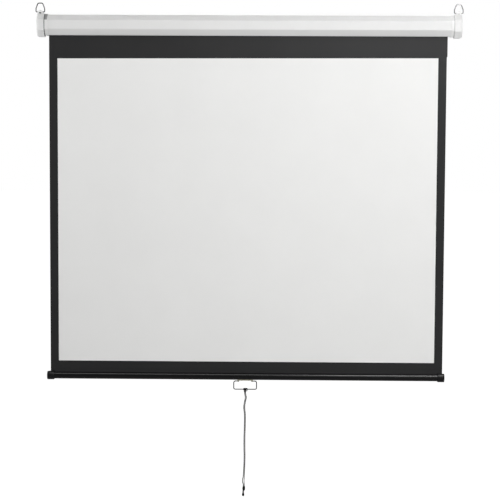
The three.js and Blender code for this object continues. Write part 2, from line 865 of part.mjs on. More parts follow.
/** A cap over the right-hand end of the bar, slit on top for the sheet. */
function barCap() {
  const end = barLength / 2 + restGap + barCapEnd;
  const mouth = barLength / 2 - barCapSleeve;
  const bore = barRadius + restGap;
  const outline = [
    [bore, mouth],
    [barCapRadius - barCapBevel, mouth],
    [barCapRadius, mouth + barCapBevel],
    [barCapRadius, end - barCapBevel],
    [barCapRadius - barCapBevel, end],
    [0, end],
    [0, end - barCapEnd],
    [bore, end - barCapEnd],
    [bore, mouth],
  ];
  const body = turned(outline, roundSides).applyMatrix4(layAlongX);
  const slit = boxBetween(
    [mouth - cutOverrun, -barSlotHalf, 0],
    [sheetWidth / 2 + Math.abs(barOffset) + barCapSlitRoom, barSlotHalf, barCapRadius + cutOverrun],
  );
  return carved([body], [slit]);
}

// Handle, drawn from the bar's axis

function handleBracket() {
  const half = bracketHalfLength;
  const depth = bracketHalfDepth;
  const bottom = -barRadius - restGap - bracketThickness;
  const plate = boxBetween([-half, -depth, bottom], [half, depth, -barRadius + bracketThickness]);
  const lugs = [-1, 1].map((side) => lug(side));
  const ends = [-half - cutOverrun, half + cutOverrun];
  const pivots = barAlongX(handleWire / 2 + restGap, ...ends, smallSides, [0, -handleDrop]);
  const saddle = barAlongX(barRadius + restGap, ...ends, roundSides);
  const body = carved([plate, ...lugs], [pivots, saddle]).translate(handleOffset, 0, 0);
  return carved([body], bracketScrewHoles(-barRadius));
}

function lug(side) {
  const inner = side * lugInner;
  const outer = side * (lugInner + lugThickness);
  const ends = [Math.min(inner, outer), Math.max(inner, outer)];
  const eye = barAlongX(lugRadius, ...ends, smallSides, [0, -handleDrop]);
  const neck = boxBetween([inner, -lugRadius, -handleDrop], [outer, lugRadius, -barRadius]);
  return geometryOf(joined([eye, neck]));
}

function pullHandle() {
  const end = lugInner - handleInsertion;
  const corners = [
    [-end, 0],
    [-handleHalfWidth, 0],
    [-handleHalfWidth, -handleHeight],
    [handleHalfWidth, -handleHeight],
    [handleHalfWidth, 0],
    [end, 0],
  ];
  const bends = [handleTopBend, handleBottomBend, handleBottomBend, handleTopBend];
  return bentWire(corners, bends, handleWire);
}

/** A screw whose head stands under the origin and whose shank runs up. */
function bracketScrew() {
  const outline = [
    [0, -bracketScrewHeadHeight],
    [bracketScrewHeadRadius * headTopShare, -bracketScrewHeadHeight],
    [bracketScrewHeadRadius, -bracketScrewHeadHeight / 2],
    [bracketScrewHeadRadius, 0],
    [bracketScrewRadius, 0],
    [bracketScrewRadius, bracketScrewDepth],
    [0, bracketScrewDepth],
  ];
  return turned(outline, screwSides).applyMatrix4(standAlongZ);
}

// Pull cord, drawn from the middle of the handle's lower wire

function cordHitch() {
  const inner = handleWire / 2 + restGap;
  const half = hitchLength / 2;
  const outline = [
    [inner, -half],
    [hitchRadius - hitchRound, -half],
    [hitchRadius, -half + hitchRound],
    [hitchRadius, half - hitchRound],
    [hitchRadius - hitchRound, half],
    [inner, half],
    [inner, -half],
  ];
  return turned(outline, smallSides).applyMatrix4(layAlongX);
}

function strand(route) {
  const points = route.map(([x, y, z]) => new THREE.Vector3(x, y, z));
  const curve = new THREE.CatmullRomCurve3(points, false, "centripetal");
  return tube(curve, strandDiameter, strandSides, strandSteps);
}

/** Outline shares of the two knots: (share of the radius, share of the height from the top). */
const lowerKnotShares = [
  [0.55, 0],
  [0.9, 0.08],
  [1, 0.25],
  [0.86, 0.45],
  [0.95, 0.65],
  [0.9, 0.85],
  [0.5, 1],
];
const endKnotShares = [
  [0.6, 0.22],
  [0.74, 0.4],
  [0.94, 0.62],
  [1, 0.82],
  [0.72, 1],
];

function lowerKnot() {
  const outline = lowerKnotShares.map(([across, down]) => [
    across * lowerKnotRadius,
    -down * lowerKnotHeight,
  ]);
  return turned([[0, 0], ...outline, [0, -lowerKnotHeight]], smallSides).applyMatrix4(standAlongZ);
}

function endKnot() {
  const outline = endKnotShares.map(([across, down]) => [across * endKnotRadius, -down * endKnotHeight]);
  const neckEnd = outline[0][1] + endKnotNeck;
  const neck = [
    [0, 0],
    [endKnotNeck, 0],
    [endKnotNeck, neckEnd],
  ];
  return turned([...neck, ...outline, [0, -endKnotHeight]], smallSides).applyMatrix4(standAlongZ);
}

// Looks: colour, roughness and metalness of each material

const whitePaint = { color: 0xe6e8ea, roughness: 0.45, metalness: 0 };
const whitePlastic = { color: 0xe9eaeb, roughness: 0.5, metalness: 0 };
const whiteVinyl = { color: 0xe8e8e6, roughness: 0.9, metalness: 0 };
const blackVinyl = { color: 0x1f1f20, roughness: 0.75, metalness: 0 };
const blackPaint = { color: 0x111112, roughness: 0.35, metalness: 0 };
const blackPlastic = { color: 0x161617, roughness: 0.45, metalness: 0 };
const steelWire = { color: 0x8d8f92, roughness: 0.3, metalness: 1 };
const plainSteel = { color: 0x9a9c9f, roughness: 0.4, metalness: 1 };
const springSteel = { color: 0x55585c, roughness: 0.35, metalness: 1 };
const paleSteel = { color: 0xb9b39c, roughness: 0.4, metalness: 1 };
const greyPlastic = { color: 0x6c6e70, roughness: 0.6, metalness: 0 };
const brass = { color: 0xb59a5b, roughness: 0.35, metalness: 1 };
const blackCord = { color: 0x151516, roughness: 0.85, metalness: 0 };

function piece(name, geometry, look, place = [0, 0, 0]) {
  const mesh = new THREE.Mesh(geometry, new THREE.MeshStandardMaterial(look));
  mesh.name = name;
  mesh.position.set(...place);
  return mesh;
}

function group(place, ...children) {
  const made = new THREE.Group();
  made.position.set(...place);
  made.add(...children);
  return made;
}

// Assembly, from the middle of the case

function capScrews() {
  const screws = [];
  for (const [side, hand] of [[-1, "left"], [1, "right"]]) {
    for (const [way, level] of [[1, "upper"], [-1, "lower"]]) {
      const seat = caseHalfDepth + restGap + collarWall + screwHeadGap;
      const place = [side * collarMiddle, seat, way * capScrewRise];
      screws.push(piece(`cap_screw_${hand}_${level}`, capScrew(), plainSteel, place));
    }
  }
  return screws;
}

const leftCap = piece("left_end_cap", endCap(-1, tongueSlot), whitePlastic);
const rightCap = piece("right_end_cap", endCap(1, bushSeat), whitePlastic);
const leftRingPlace = [-earPlace, 0, ringPivotHeight];
const rightRingPlace = [earPlace, 0, ringPivotHeight];
const leftRing = piece("left_hanger_ring", hangerRing(), steelWire, leftRingPlace);
const rightRing = piece("right_hanger_ring", hangerRing(), steelWire, rightRingPlace);

/** One pawl on its pin; the lower one is the upper one turned half round the roller's axis. */
function pawlSet(name, turn) {
  const onPin = [0, -pawlPinBehind, pawlPinAbove];
  const set = group(
    [0, 0, 0],
    piece(`pawl_${name}`, pawl(), plainSteel, onPin),
    piece(`pawl_pin_${name}`, pawlPin(), plainSteel, onPin),
  );
  set.rotation.x = turn;
  return set;
}

const wrapEnds = [sheetOffset - sheetWidth / 2, sheetOffset + sheetWidth / 2 + leaderStep];
const roller = group(
  [0, rollerBehind, 0],
  piece(
    "roller_tube",
    sleeveAlongX(rollerRadius, rollerBore, -rollerHalfLength, rollerHalfLength, innerSides),
    plainSteel,
  ),
  piece("roller_ratchet_plug", ratchetPlug(), greyPlastic),
  piece("roller_idler_plug", idlerPlug(), greyPlastic),
  piece("gudgeon_pin", gudgeonPin(), plainSteel),
  piece("bearing_bush", bearingBush(), brass),
  piece("spring_shaft", springShaft(), plainSteel),
  piece("spring_anchor", springAnchor(), greyPlastic),
  piece("spring_drive_plug", drivePlug(), greyPlastic),
  piece("lift_spring", liftSpring(), springSteel),
  piece("ratchet_wheel", ratchetWheel(), plainSteel),
  piece("fabric_wraps", sleeveAlongX(wrapOuter, wrapInner, ...wrapEnds, innerSides), blackVinyl),
  pawlSet("upper", 0),
  pawlSet("lower", Math.PI),
);

const sheet = group(
  [sheetOffset, sheetY, 0],
  piece("black_leader", leader(), blackVinyl),
  piece("screen_sheet", whiteSheet(), whiteVinyl),
  piece("border_left", sideMask(-1), blackVinyl),
  piece("border_right", sideMask(1), blackVinyl),
  piece("border_bottom", lowerBorder(), blackVinyl),
);

const leftBarCap = piece("bar_cap_left", barCap(), blackPlastic);
leftBarCap.rotation.z = Math.PI;

const strandStart = [0, 0, -hitchRadius - restGap];
const cord = group(
  [0, 0, -handleHeight],
  piece("cord_hitch", cordHitch(), blackCord),
  group(
    strandStart,
    piece("cord_strand_left", strand(strandLeftRoute), blackCord),
    piece("cord_strand_right", strand(strandRightRoute), blackCord),
    group(
      [0, 0, -restGap],
      piece("cord_lower_knot", lowerKnot(), blackCord, lowerKnotPlace),
      piece("cord_end_knot", endKnot(), blackCord, endKnotPlace),
    ),
  ),
);

const screwSeat = -barRadius - restGap - bracketThickness - screwHeadGap;
const screwPlaces = [-1, 1].map((side) => [handleOffset + side * bracketScrewPlace, 0, screwSeat]);
const bar = group(
  [sheetOffset + barOffset, sheetY, -barDepth],
  piece("bottom_bar", weightBar(), blackPaint),
  piece("fabric_spline", spline(), whitePlastic),
  leftBarCap,
  piece("bar_cap_right", barCap(), blackPlastic),
  piece("handle_bracket", handleBracket(), paleSteel),
  piece("bracket_screw_left", bracketScrew(), plainSteel, screwPlaces[0]),
  piece("bracket_screw_right", bracketScrew(), plainSteel, screwPlaces[1]),
  group([handleOffset, 0, -handleDrop], piece("pull_handle", pullHandle(), steelWire), cord),
);

const caseUnderHooks = ringPivotHeight + ringHeight - ringWire / 2;
export default group(
  [0, 0, -caseUnderHooks],
  piece("housing", housing(), whitePaint),
  leftCap,
  rightCap,
  ...capScrews(),
  leftRing,
  rightRing,
  roller,
  sheet,
  bar,
);
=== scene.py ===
"""A pull-down projection screen, drawn right out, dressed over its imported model.

The frame is in metres. X runs along the case, -Y faces the viewer and +Z is up, from midway
between the two rings.
"""

import math

import bmesh
import bpy
import numpy as np
from mathutils import Matrix, Vector


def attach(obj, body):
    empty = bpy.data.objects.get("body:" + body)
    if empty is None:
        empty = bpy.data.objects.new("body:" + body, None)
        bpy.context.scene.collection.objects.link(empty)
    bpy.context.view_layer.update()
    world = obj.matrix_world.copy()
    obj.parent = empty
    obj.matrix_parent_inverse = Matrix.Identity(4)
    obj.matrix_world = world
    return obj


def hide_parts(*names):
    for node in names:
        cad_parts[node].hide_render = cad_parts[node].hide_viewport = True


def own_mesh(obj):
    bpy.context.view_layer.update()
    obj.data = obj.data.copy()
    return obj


MM = 0.001

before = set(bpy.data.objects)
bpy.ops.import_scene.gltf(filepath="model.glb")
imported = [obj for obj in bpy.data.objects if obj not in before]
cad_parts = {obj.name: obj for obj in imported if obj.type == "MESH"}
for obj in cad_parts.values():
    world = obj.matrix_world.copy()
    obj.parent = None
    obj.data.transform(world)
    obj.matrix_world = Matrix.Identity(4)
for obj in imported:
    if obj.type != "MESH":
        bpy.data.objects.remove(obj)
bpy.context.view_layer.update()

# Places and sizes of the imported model, in millimetres
CASE_MIDDLE = -83.5  # height of the middle of the case
CASE_HALF = 39.5
CASE_CHAMFER = 22.25
CASE_END = 823
CASE_WALL = 0.8
LIP_HEIGHT = -38.5  # from the middle of the case
LIP_FRONT, LIP_BACK = -15.2, 3.9
SHEET_Y = -12.1
SHEET_THICK = 0.4
MASK_THICK = 0.1
SHEET_LEFT, SHEET_RIGHT = -788, 778
LEADER_RIGHT = 780.5
STEP_HEIGHT = -206.5  # where the leader's right edge steps in to the sheet's
WHITE_LEFT, WHITE_RIGHT = -755, 745
WHITE_TOP, WHITE_BOTTOM = -211.65, -1416.65
CLOTH_END = -1464.6
ROLLER_Y = 8.5
RING_X, RING_Z, RING_WIRE = 823.5, -32.5, 4
BAR_X, BAR_Z = -7.5, -1476.5
BAR_HALF = 789.5
BAR_RADIUS = 13.5
BAR_SLOT_HALF = 0.9  # half the width of the slot for the sheet, in the bar and in its caps
HANDLE_X = -8.5
HANDLE_WIRE = 4
PIVOT_Z = -1494.8
HANDLE_DROP = 33
CORD_TOP = -1533.6  # the underside of the hitch
STRAND = 3.2  # diameter of the pull cord

DOWN = (0, 0, -1)


# Meshes

FOLD_ANGLE = 32  # degrees; a sharper edge than this stays sharp
CAD_FOLD_ANGLE = 28  # the same, on a CAD node's mesh
FLAT_ANGLE = 0.6  # faces of a CAD node that turn less than this are one flat face
BEVEL_STEPS = 2
DOME_STEPS = 4


def new_object(name, data):
    """A new object in the scene."""
    made = bpy.data.objects.new(name, data)
    bpy.context.scene.collection.objects.link(made)
    return made


def new_mesh(name, points, faces):
    """A mesh from points in millimetres."""
    mesh = bpy.data.meshes.new(name)
    places = [tuple(p) for p in np.asarray(points, float) * MM]
    mesh.from_pydata(places, [], [tuple(f) for f in faces])
    return mesh


def mesh_piece(name, points, faces, materials, body, node, marks=None, uvs=None):
    """A piece that stands for a CAD node; marks gives each face's material."""
    mesh = new_mesh(name, points, faces)
    for material in materials:
        mesh.materials.append(material)
    if marks is not None:
        mesh.polygons.foreach_set("material_index", list(marks))
    if uvs is not None:
        layer = mesh.uv_layers.new(name="along")
        flat = [c for face in uvs for corner in face for c in corner]
        layer.data.foreach_set("uv", flat)
    return finished(mesh, name, body, node)


def finished(mesh, name, body, node, sharp=FOLD_ANGLE):
    """Smooths a mesh up to its sharp edges and makes it a piece that rides on a body."""
    work = bmesh.new()
    work.from_mesh(mesh)
    bmesh.ops.recalc_face_normals(work, faces=work.faces)
    for face in work.faces:
        face.smooth = True
    for edge in work.edges:
        edge.smooth = len(edge.link_faces) == 2 and edge.calc_face_angle(0) < math.radians(sharp)
    work.to_mesh(mesh)
    work.free()
    piece = new_object(name, mesh)
    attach(piece, body)
    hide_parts(node)
    return piece


def steps_of(path):
    """The distances from each point of a path to the next."""
    return np.linalg.norm(np.diff(path, axis=0), axis=1)


def distances(path):
    """How far along a path each of its points lies."""
    return np.concatenate([[0], np.cumsum(steps_of(path))])


def directions(path):
    """The ways ahead and two ways across, at each point of a path, without twist."""
    ahead = np.gradient(path, axis=0)
    ahead[0], ahead[-1] = path[1] - path[0], path[-1] - path[-2]
    ahead /= np.linalg.norm(ahead, axis=1)[:, None]
    start = np.array([0.0, 1, 0]) if abs(ahead[0][1]) < 0.9 else np.array([1.0, 0, 0])
    first = []
    for t in ahead:
        start = start - t * (start @ t)
        start /= np.linalg.norm(start)
        first.append(start)
    first = np.array(first)
    return ahead, first, np.cross(ahead, first)


def tube(path, radius, sides, domed=0):
    """A round tube along a path, as points, faces and face UVs (turn, millimetres along).

    radius is one number or one for each point; domed is how far the ends bulge out.
    """
    path = np.asarray(path, float)
    radii = np.full(len(path), float(radius)) if np.isscalar(radius) else radius
    along = distances(path)
    ahead, one, two = directions(path)
    rings = [(point, radii[k], k, along[k]) for k, point in enumerate(path)]
    if domed:
        for angle in np.linspace(0, math.pi / 2, DOME_STEPS)[1:-1]:
            share, out = math.cos(angle), math.sin(angle)
            top, bottom = path[-1] + ahead[-1] * out * domed, path[0] - ahead[0] * out * domed
            rings.append((top, radii[-1] * share, -1, along[-1] + out * domed))
            rings.insert(0, (bottom, radii[0] * share, 0, -out * domed))
    turn = np.linspace(0, 2 * math.pi, sides, endpoint=False)
    points, faces, uvs = [], [], []
    for centre, r, k, _ in rings:
        points += [centre + r * (math.cos(a) * one[k] + math.sin(a) * two[k]) for a in turn]
    for i in range(len(rings) - 1):
        a, b = rings[i][3], rings[i + 1][3]
        for j in range(sides):
            n = (j + 1) % sides
            faces.append((i * sides + j, i * sides + n, (i + 1) * sides + n, (i + 1) * sides + j))
            left, right = j / sides, (j + 1) / sides
            uvs.append(((left, a), (right, a), (right, b), (left, b)))
    for end, ring, k, way in ((path[0], 0, 0, -1), (path[-1], len(rings) - 1, -1, 1)):
        points.append(end + ahead[k] * way * domed)
        at, v = ring * sides, rings[ring][3]
        for j in range(sides):
            n = (j + 1) % sides
            pair = (at + n, at + j) if way < 0 else (at + j, at + n)
            faces.append((*pair, len(points) - 1))
            uvs.append(((j / sides, v), ((j + 1) / sides, v), ((j + 0.5) / sides, v)))
    return points, faces, uvs


def together(*parts):
    """Joins (points, faces, uvs) parts into one."""
    points, faces, uvs = [], [], []
    for p, f, u in parts:
        start = len(points)
        points += list(p)
        faces += [tuple(i + start for i in face) for face in f]
        uvs += list(u)
    return points, faces, uvs


def around_axis(place, axis):
    """A function from a radius, an angle and a distance along an axis to the point there."""
    spin = Vector((0, 0, 1)).rotation_difference(Vector(axis).normalized()).to_matrix()
    start = Vector(place)

    def point(radius, angle, along):
        return start + spin @ Vector((radius * math.cos(angle), radius * math.sin(angle), along))

    return point


def turned(outline, sides, place, axis):
    """A solid of revolution of (radius, along) pairs, about an axis through place."""
    point_at = around_axis(place, axis)
    points, rows = [], []
    for radius, along in outline:
        count = sides if radius else 1
        rows.append(list(range(len(points), len(points) + count)))
        points += [point_at(radius, 2 * math.pi * k / count, along) for k in range(count)]
    faces = []
    for a, b in zip(rows, rows[1:]):
        if len(a) == len(b) == 1:
            continue
        for k in range(sides):
            n = (k + 1) % sides
            if len(a) == 1:
                faces.append((a[0], b[n], b[k]))
            elif len(b) == 1:
                faces.append((a[k], a[n], b[0]))
            else:
                faces.append((a[k], a[n], b[n], b[k]))
    return points, faces


def drawn_along_x(section, xs):
    """A closed section of (y, z) points drawn along the X values."""
    n = len(section)
    points = [(x, y, z) for x in xs for y, z in section]
    faces = []
    for i in range(len(xs) - 1):
        for j in range(n):
            k = (j + 1) % n
            faces.append((i * n + j, i * n + k, (i + 1) * n + k, (i + 1) * n + j))
    faces.append(tuple(range(n))[::-1])
    faces.append(tuple((len(xs) - 1) * n + j for j in range(n)))
    return points, faces


def bent(corners, radii, steps):
    """A polyline whose inner corners are bent to their radii."""
    corners = [np.asarray(c, float) for c in corners]
    path = [corners[0]]
    for k in range(1, len(corners) - 1):
        back = corners[k - 1] - corners[k]
        on = corners[k + 1] - corners[k]
        back, on = back / np.linalg.norm(back), on / np.linalg.norm(on)
        half = math.acos(np.clip(back @ on, -1, 1)) / 2
        turn = math.pi - 2 * half
        inward = (back + on) / np.linalg.norm(back + on)
        radius = radii[k - 1]
        middle = corners[k] + inward * radius / math.sin(half)
        first = corners[k] + back * radius / math.tan(half) - middle
        last = corners[k] + on * radius / math.tan(half) - middle
        for s in range(steps + 1):
            share = s / steps
            path.append(
                middle
                + first * math.sin((1 - share) * turn) / math.sin(turn)
                + last * math.sin(share * turn) / math.sin(turn)
            )
    path.append(corners[-1])
    return np.array(path)


def arc(centre, radii, start, end, steps):
    """Points of an arc from one angle to another, in degrees, and from one radius to another."""
    angles = np.radians(np.linspace(start, end, steps + 1))
    out = np.linspace(*radii, steps + 1)
    return np.stack([centre[0] + out * np.cos(angles), centre[1] + out * np.sin(angles)], axis=1)


def banded(line, thick):
    """The closed outline of a strip of sheet metal whose middle follows an open line."""
    ahead = np.gradient(line, axis=0)
    ahead /= np.linalg.norm(ahead, axis=1)[:, None]
    across = np.stack([-ahead[:, 1], ahead[:, 0]], axis=1) * thick / 2
    return np.concatenate([line + across, (line - across)[::-1]])


def softened(node, name, width, body, slot, shaded=None, shades=()):
    """A copy of a CAD node with its flat faces joined and its edges rounded.

    shaded gives, from a face's middle in millimetres and its normal, 0 or the number of its
    painted shade.
    """
    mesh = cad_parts[node].data.copy()
    mesh.name = name
    work = bmesh.new()
    work.from_mesh(mesh)
    bmesh.ops.remove_doubles(work, verts=work.verts, dist=1e-6)
    bmesh.ops.dissolve_limit(
        work, angle_limit=math.radians(FLAT_ANGLE), verts=work.verts, edges=work.edges,
        use_dissolve_boundaries=False,
    )
    sharp = math.radians(CAD_FOLD_ANGLE)
    edges = [e for e in work.edges if len(e.link_faces) == 2 and e.calc_face_angle(0) > sharp]
    bmesh.ops.bevel(
        work, geom=edges, offset=width * MM, offset_type="OFFSET", segments=BEVEL_STEPS,
        profile=0.5, affect="EDGES", clamp_overlap=True,
    )
    work.normal_update()
    for face in work.faces:
        face.material_index = shaded(face.calc_center_median() / MM, face.normal) if shaded else 0
    # Before to_mesh(), because clearing the materials sets every face's index back to 0
    mesh.materials.clear()
    for surface_material in (look[slot], *shades):
        mesh.materials.append(surface_material)
    work.to_mesh(mesh)
    work.free()
    return finished(mesh, name, body, node, CAD_FOLD_ANGLE)


def cut(piece, points, faces):
    """Cuts a solid, given in millimetres, out of a piece."""
    mesh = new_mesh("cutter", points, faces)
    work = bmesh.new()
    work.from_mesh(mesh)
    bmesh.ops.recalc_face_normals(work, faces=work.faces)
    work.to_mesh(mesh)
    work.free()
    cutter = new_object("cutter", mesh)
    change = piece.modifiers.new("cut", "BOOLEAN")
    change.operation, change.solver, change.object = "DIFFERENCE", "EXACT", cutter
    evaluated = piece.evaluated_get(bpy.context.evaluated_depsgraph_get())
    remains = bpy.data.meshes.new_from_object(evaluated)
    piece.modifiers.clear()
    piece.data = remains
    bpy.data.objects.remove(cutter)
    bpy.data.meshes.remove(mesh)


def block(low, high):
    """The points and faces of a box."""
    (x0, y0, z0), (x1, y1, z1) = low, high
    points = [(x, y, z) for x in (x0, x1) for y in (y0, y1) for z in (z0, z1)]
    faces = [(0, 1, 3, 2), (4, 6, 7, 5), (0, 4, 5, 1), (2, 3, 7, 6), (0, 2, 6, 4), (1, 5, 7, 3)]
    return points, faces


# Materials

THREAD_PITCH = 0.9  # of the woven backing
YARN_STARTS, YARN_PITCH = 4, 1.9  # spirals each way, and the way along the cord between them


class Look:
    """Builds one procedural material on a Principled shader."""

    def __init__(self, name, colour, roughness, metallic=0.0, specular=0.5):
        self.material = bpy.data.materials.new(name)
        self.material.use_nodes = True
        self.tree = self.material.node_tree
        self.shader = self.tree.nodes["Principled BSDF"]
        self.colour = colour
        self.shader.inputs["Base Color"].default_value = (*colour, 1)
        self.shader.inputs["Roughness"].default_value = roughness
        self.shader.inputs["Metallic"].default_value = metallic
        self.shader.inputs["Specular IOR Level"].default_value = specular
        self.place = self.node("ShaderNodeTexCoord").outputs["Object"]
        self.height = None

    def node(self, kind, **values):
        made = self.tree.nodes.new(kind)
        for key, value in values.items():
            setattr(made, key, value)
        return made

    def link(self, a, b):
        self.tree.links.new(a, b)

    def math(self, operation, *values):
        made = self.node("ShaderNodeMath", operation=operation)
        for socket, value in zip(made.inputs, values):
            if isinstance(value, (int, float)):
                socket.default_value = value
            else:
                self.link(value, socket)
        return made.outputs[0]

    def split(self, vector):
        made = self.node("ShaderNodeSeparateXYZ")
        self.link(vector, made.inputs[0])
        return made.outputs

    def stretched(self, scale):
        made = self.node("ShaderNodeMapping")
        made.inputs["Scale"].default_value = scale
        self.link(self.place, made.inputs["Vector"])
        return made.outputs[0]

    def noise(self, scale, detail, roughness=0.5, place=None):
        made = self.node("ShaderNodeTexNoise")
        made.inputs["Scale"].default_value = scale
        made.inputs["Detail"].default_value = detail
        made.inputs["Roughness"].default_value = roughness
        self.link(place or self.place, made.inputs["Vector"])
        return made.outputs["Fac"]

    def cells(self, scale):
        made = self.node("ShaderNodeTexVoronoi", feature="SMOOTH_F1")
        made.inputs["Scale"].default_value = scale
        self.link(self.place, made.inputs["Vector"])
        return made.outputs["Distance"]

    def ranged(self, value, *limits):
        """Maps a value from the first two limits to the last two."""
        made = self.node("ShaderNodeMapRange")
        self.link(value, made.inputs["Value"])
        for name, limit in zip(("From Min", "From Max", "To Min", "To Max"), limits):
            made.inputs[name].default_value = limit
        return made.outputs["Result"]

    def tint(self, value, dark, light, low=0.35, high=0.65):
        """Colours the surface from a dark to a light share of its own colour."""
        ramp = self.node("ShaderNodeValToRGB")
        for stop, share, at in zip(ramp.color_ramp.elements, (dark, light), (low, high)):
            stop.position = at
            stop.color = (*(min(1.0, c * share) for c in self.colour), 1)
        self.link(value, ramp.inputs["Fac"])
        self.link(ramp.outputs["Color"], self.shader.inputs["Base Color"])

    def polish(self, value, low, high):
        """Varies the roughness from low to high, by a noise that lies mostly within 0.3 to 0.7."""
        self.link(self.ranged(value, 0.3, 0.7, low, high), self.shader.inputs["Roughness"])

    def bump(self, value, strength, height):
        """Raises the surface, by a height in millimetres, over the bumps made before."""
        made = self.node("ShaderNodeBump")
        made.inputs["Strength"].default_value = strength
        made.inputs["Distance"].default_value = height * MM
        self.link(value, made.inputs["Height"])
        if self.height is not None:
            self.link(self.height, made.inputs["Normal"])
        self.height = made.outputs["Normal"]
        self.link(self.height, self.shader.inputs["Normal"])


def powder_coat(name, colour, roughness, specular):
    """Baked paint on folded steel: a fine orange peel over slightly uneven sheet."""
    made = Look(name, colour, roughness, specular=specular)
    made.tint(made.noise(scale=6, detail=4), 0.975, 1.0)
    made.polish(made.noise(scale=40, detail=3), roughness - 0.04, roughness + 0.05)
    uneven = made.noise(scale=9, detail=2, place=made.stretched((0.35, 1, 1)))
    made.bump(uneven, strength=0.1, height=3)
    made.bump(made.noise(scale=700, detail=2), strength=0.12, height=0.06)
    return made.material


def moulded(name, colour, roughness, grain=0.12, specular=0.5):
    """Moulded plastic with a fine spark-eroded grain and a slight flow pattern."""
    made = Look(name, colour, roughness, specular=specular)
    made.tint(made.noise(scale=25, detail=5, roughness=0.6), 0.965, 1.0)
    made.polish(made.noise(scale=90, detail=3), roughness - 0.05, roughness + 0.06)
    made.bump(made.cells(scale=1600), strength=grain, height=0.08)
    made.bump(made.noise(scale=60, detail=2), strength=0.06, height=0.4)
    return made.material


def vinyl(name, colour, roughness, sheen, mottle, specular):
    """Screen fabric: coated vinyl on a fine woven backing whose threads just show."""
    weave = 0.1
    made = Look(name, colour, roughness, specular=specular)
    made.shader.inputs["Sheen Weight"].default_value = sheen
    made.shader.inputs["Sheen Roughness"].default_value = 0.5
    made.tint(made.noise(scale=5, detail=5, roughness=0.55), mottle, 1.0)
    made.polish(made.noise(scale=160, detail=3), roughness - 0.04, roughness + 0.04)
    axes = made.split(made.place)
    threads = 2 * math.pi / (THREAD_PITCH * MM)
    up = made.math("SINE", made.math("MULTIPLY", axes["Z"], threads))
    over = made.math("SINE", made.math("MULTIPLY", axes["X"], threads))
    made.bump(made.math("MULTIPLY", up, over), strength=weave, height=0.05)
    made.bump(made.noise(scale=1100, detail=2), strength=weave, height=0.06)
    return made.material


def metal(name, colour, roughness, drawn=(1, 1, 1), scratches=0.15, spots=0.94):
    """Bright metal with drawing lines along one direction and a slightly cloudy plating."""
    made = Look(name, colour, roughness, metallic=1.0)
    made.tint(made.noise(scale=120, detail=4, roughness=0.6), spots, 1.0)
    lines = made.noise(scale=260, detail=4, roughness=0.7, place=made.stretched(drawn))
    made.polish(lines, roughness - 0.08, roughness + 0.1)
    made.bump(lines, strength=scratches, height=0.03)
    return made.material


def braid(name, colour):
    """A braided cord: two crossing spirals of yarn, from the tube's own UVs."""
    made = Look(name, colour, 0.8, specular=0.12)
    axes = made.split(made.node("ShaderNodeUVMap", uv_map="along").outputs["UV"])
    around = made.math("MULTIPLY", axes["X"], 2 * math.pi * YARN_STARTS)
    along = made.math("MULTIPLY", axes["Y"], 2 * math.pi / YARN_PITCH)
    one = made.math("SINE", made.math("ADD", around, along))
    two = made.math("SINE", made.math("SUBTRACT", around, along))
    yarn = made.math("MAXIMUM", one, two)
    # The grooves between the yarns darker and their crests lighter: painted shade and painted
    # highlight
    made.tint(made.ranged(yarn, -0.6, 1.0, 0.0, 1.0), 0.45, 1.25, low=0.1, high=0.9)
    made.bump(yarn, strength=0.55, height=0.22)
    made.bump(made.noise(scale=2500, detail=2), strength=0.2, height=0.06)
    return made.material


look = {
    "case_paint": powder_coat("case_paint", (0.785, 0.785, 0.78), 0.5, specular=0.12),
    "cap_plastic": moulded("cap_plastic", (0.82, 0.82, 0.815), 0.45, specular=0.12),
    "white_fabric": vinyl("white_fabric", (0.86, 0.86, 0.85), 0.85, 0.05, 0.985, 0.12),
    "black_fabric": vinyl("black_fabric", (0.0170, 0.0170, 0.0175), 0.44, 0.0, 0.9, 0.1),
    "bar_paint": powder_coat("bar_paint", (0.002, 0.002, 0.0022), 0.22, specular=0.08),
    "black_plastic": moulded("black_plastic", (0.003, 0.003, 0.0034), 0.36, 0.2, specular=0.08),
    "wire": metal("wire", (0.09, 0.09, 0.092), 0.36),
    "steel": metal("steel", (0.56, 0.56, 0.57), 0.32, drawn=(0.05, 1, 1)),
    "spring_steel": metal("spring_steel", (0.20, 0.21, 0.22), 0.35, drawn=(1, 0.2, 1)),
    # Yellow-chromated zinc, made darker than its own colour: partly painted shade, for the bracket
    # in the shadow under the bar
    "zinc_steel": metal("zinc_steel", (0.24, 0.228, 0.18), 0.34, (0.1, 1, 1), 0.2, 0.88),
    "bush_metal": metal("bush_metal", (0.60, 0.45, 0.22), 0.35),
    "grey_plastic": moulded("grey_plastic", (0.30, 0.30, 0.31), 0.5),
    "cord": braid("cord", (0.006, 0.006, 0.0065)),
}
backing = vinyl("fabric_backing", (0.022, 0.022, 0.023), 0.8, 0.0, 0.92, 0.1)
# A darker copy of the wire: painted shade on the left ring, the same wire as the right one, and
# the dark wire of the handle
dark_wire = metal("dark_wire", (0.026, 0.026, 0.028), 0.4)  # the left ring and the handle
# Painted shade for the caps' grooves and ear slots, darker on the left cap and paler on the right
# one, and for the upper flat of the left cap's collar
painted_dark_shade_gap = moulded("painted_dark_shade_gap", (0.16, 0.16, 0.162), 0.7, specular=0.1)
painted_pale_shade_gap = moulded("painted_pale_shade_gap", (0.55, 0.55, 0.545), 0.6, specular=0.1)
painted_shade_flat = moulded("painted_shade_flat", (0.34, 0.34, 0.338), 0.6, specular=0.1)

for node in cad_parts.values():
    for held in node.material_slots:
        name = held.material.name.split(".")[0] if held.material else ""
        if name in look:
            held.material = look[name]


# Camera, at the photograph's place and angle

CAMERA_PLACE = (0.1059, -6.0, -0.4988)
CAMERA_YAW, CAMERA_PITCH, CAMERA_ROLL = (math.radians(a) for a in (-0.933, -4.484, 0.281))
FOCAL_PIXELS = 1510.8
FRAME_PIXELS = 500
SENSOR = 36

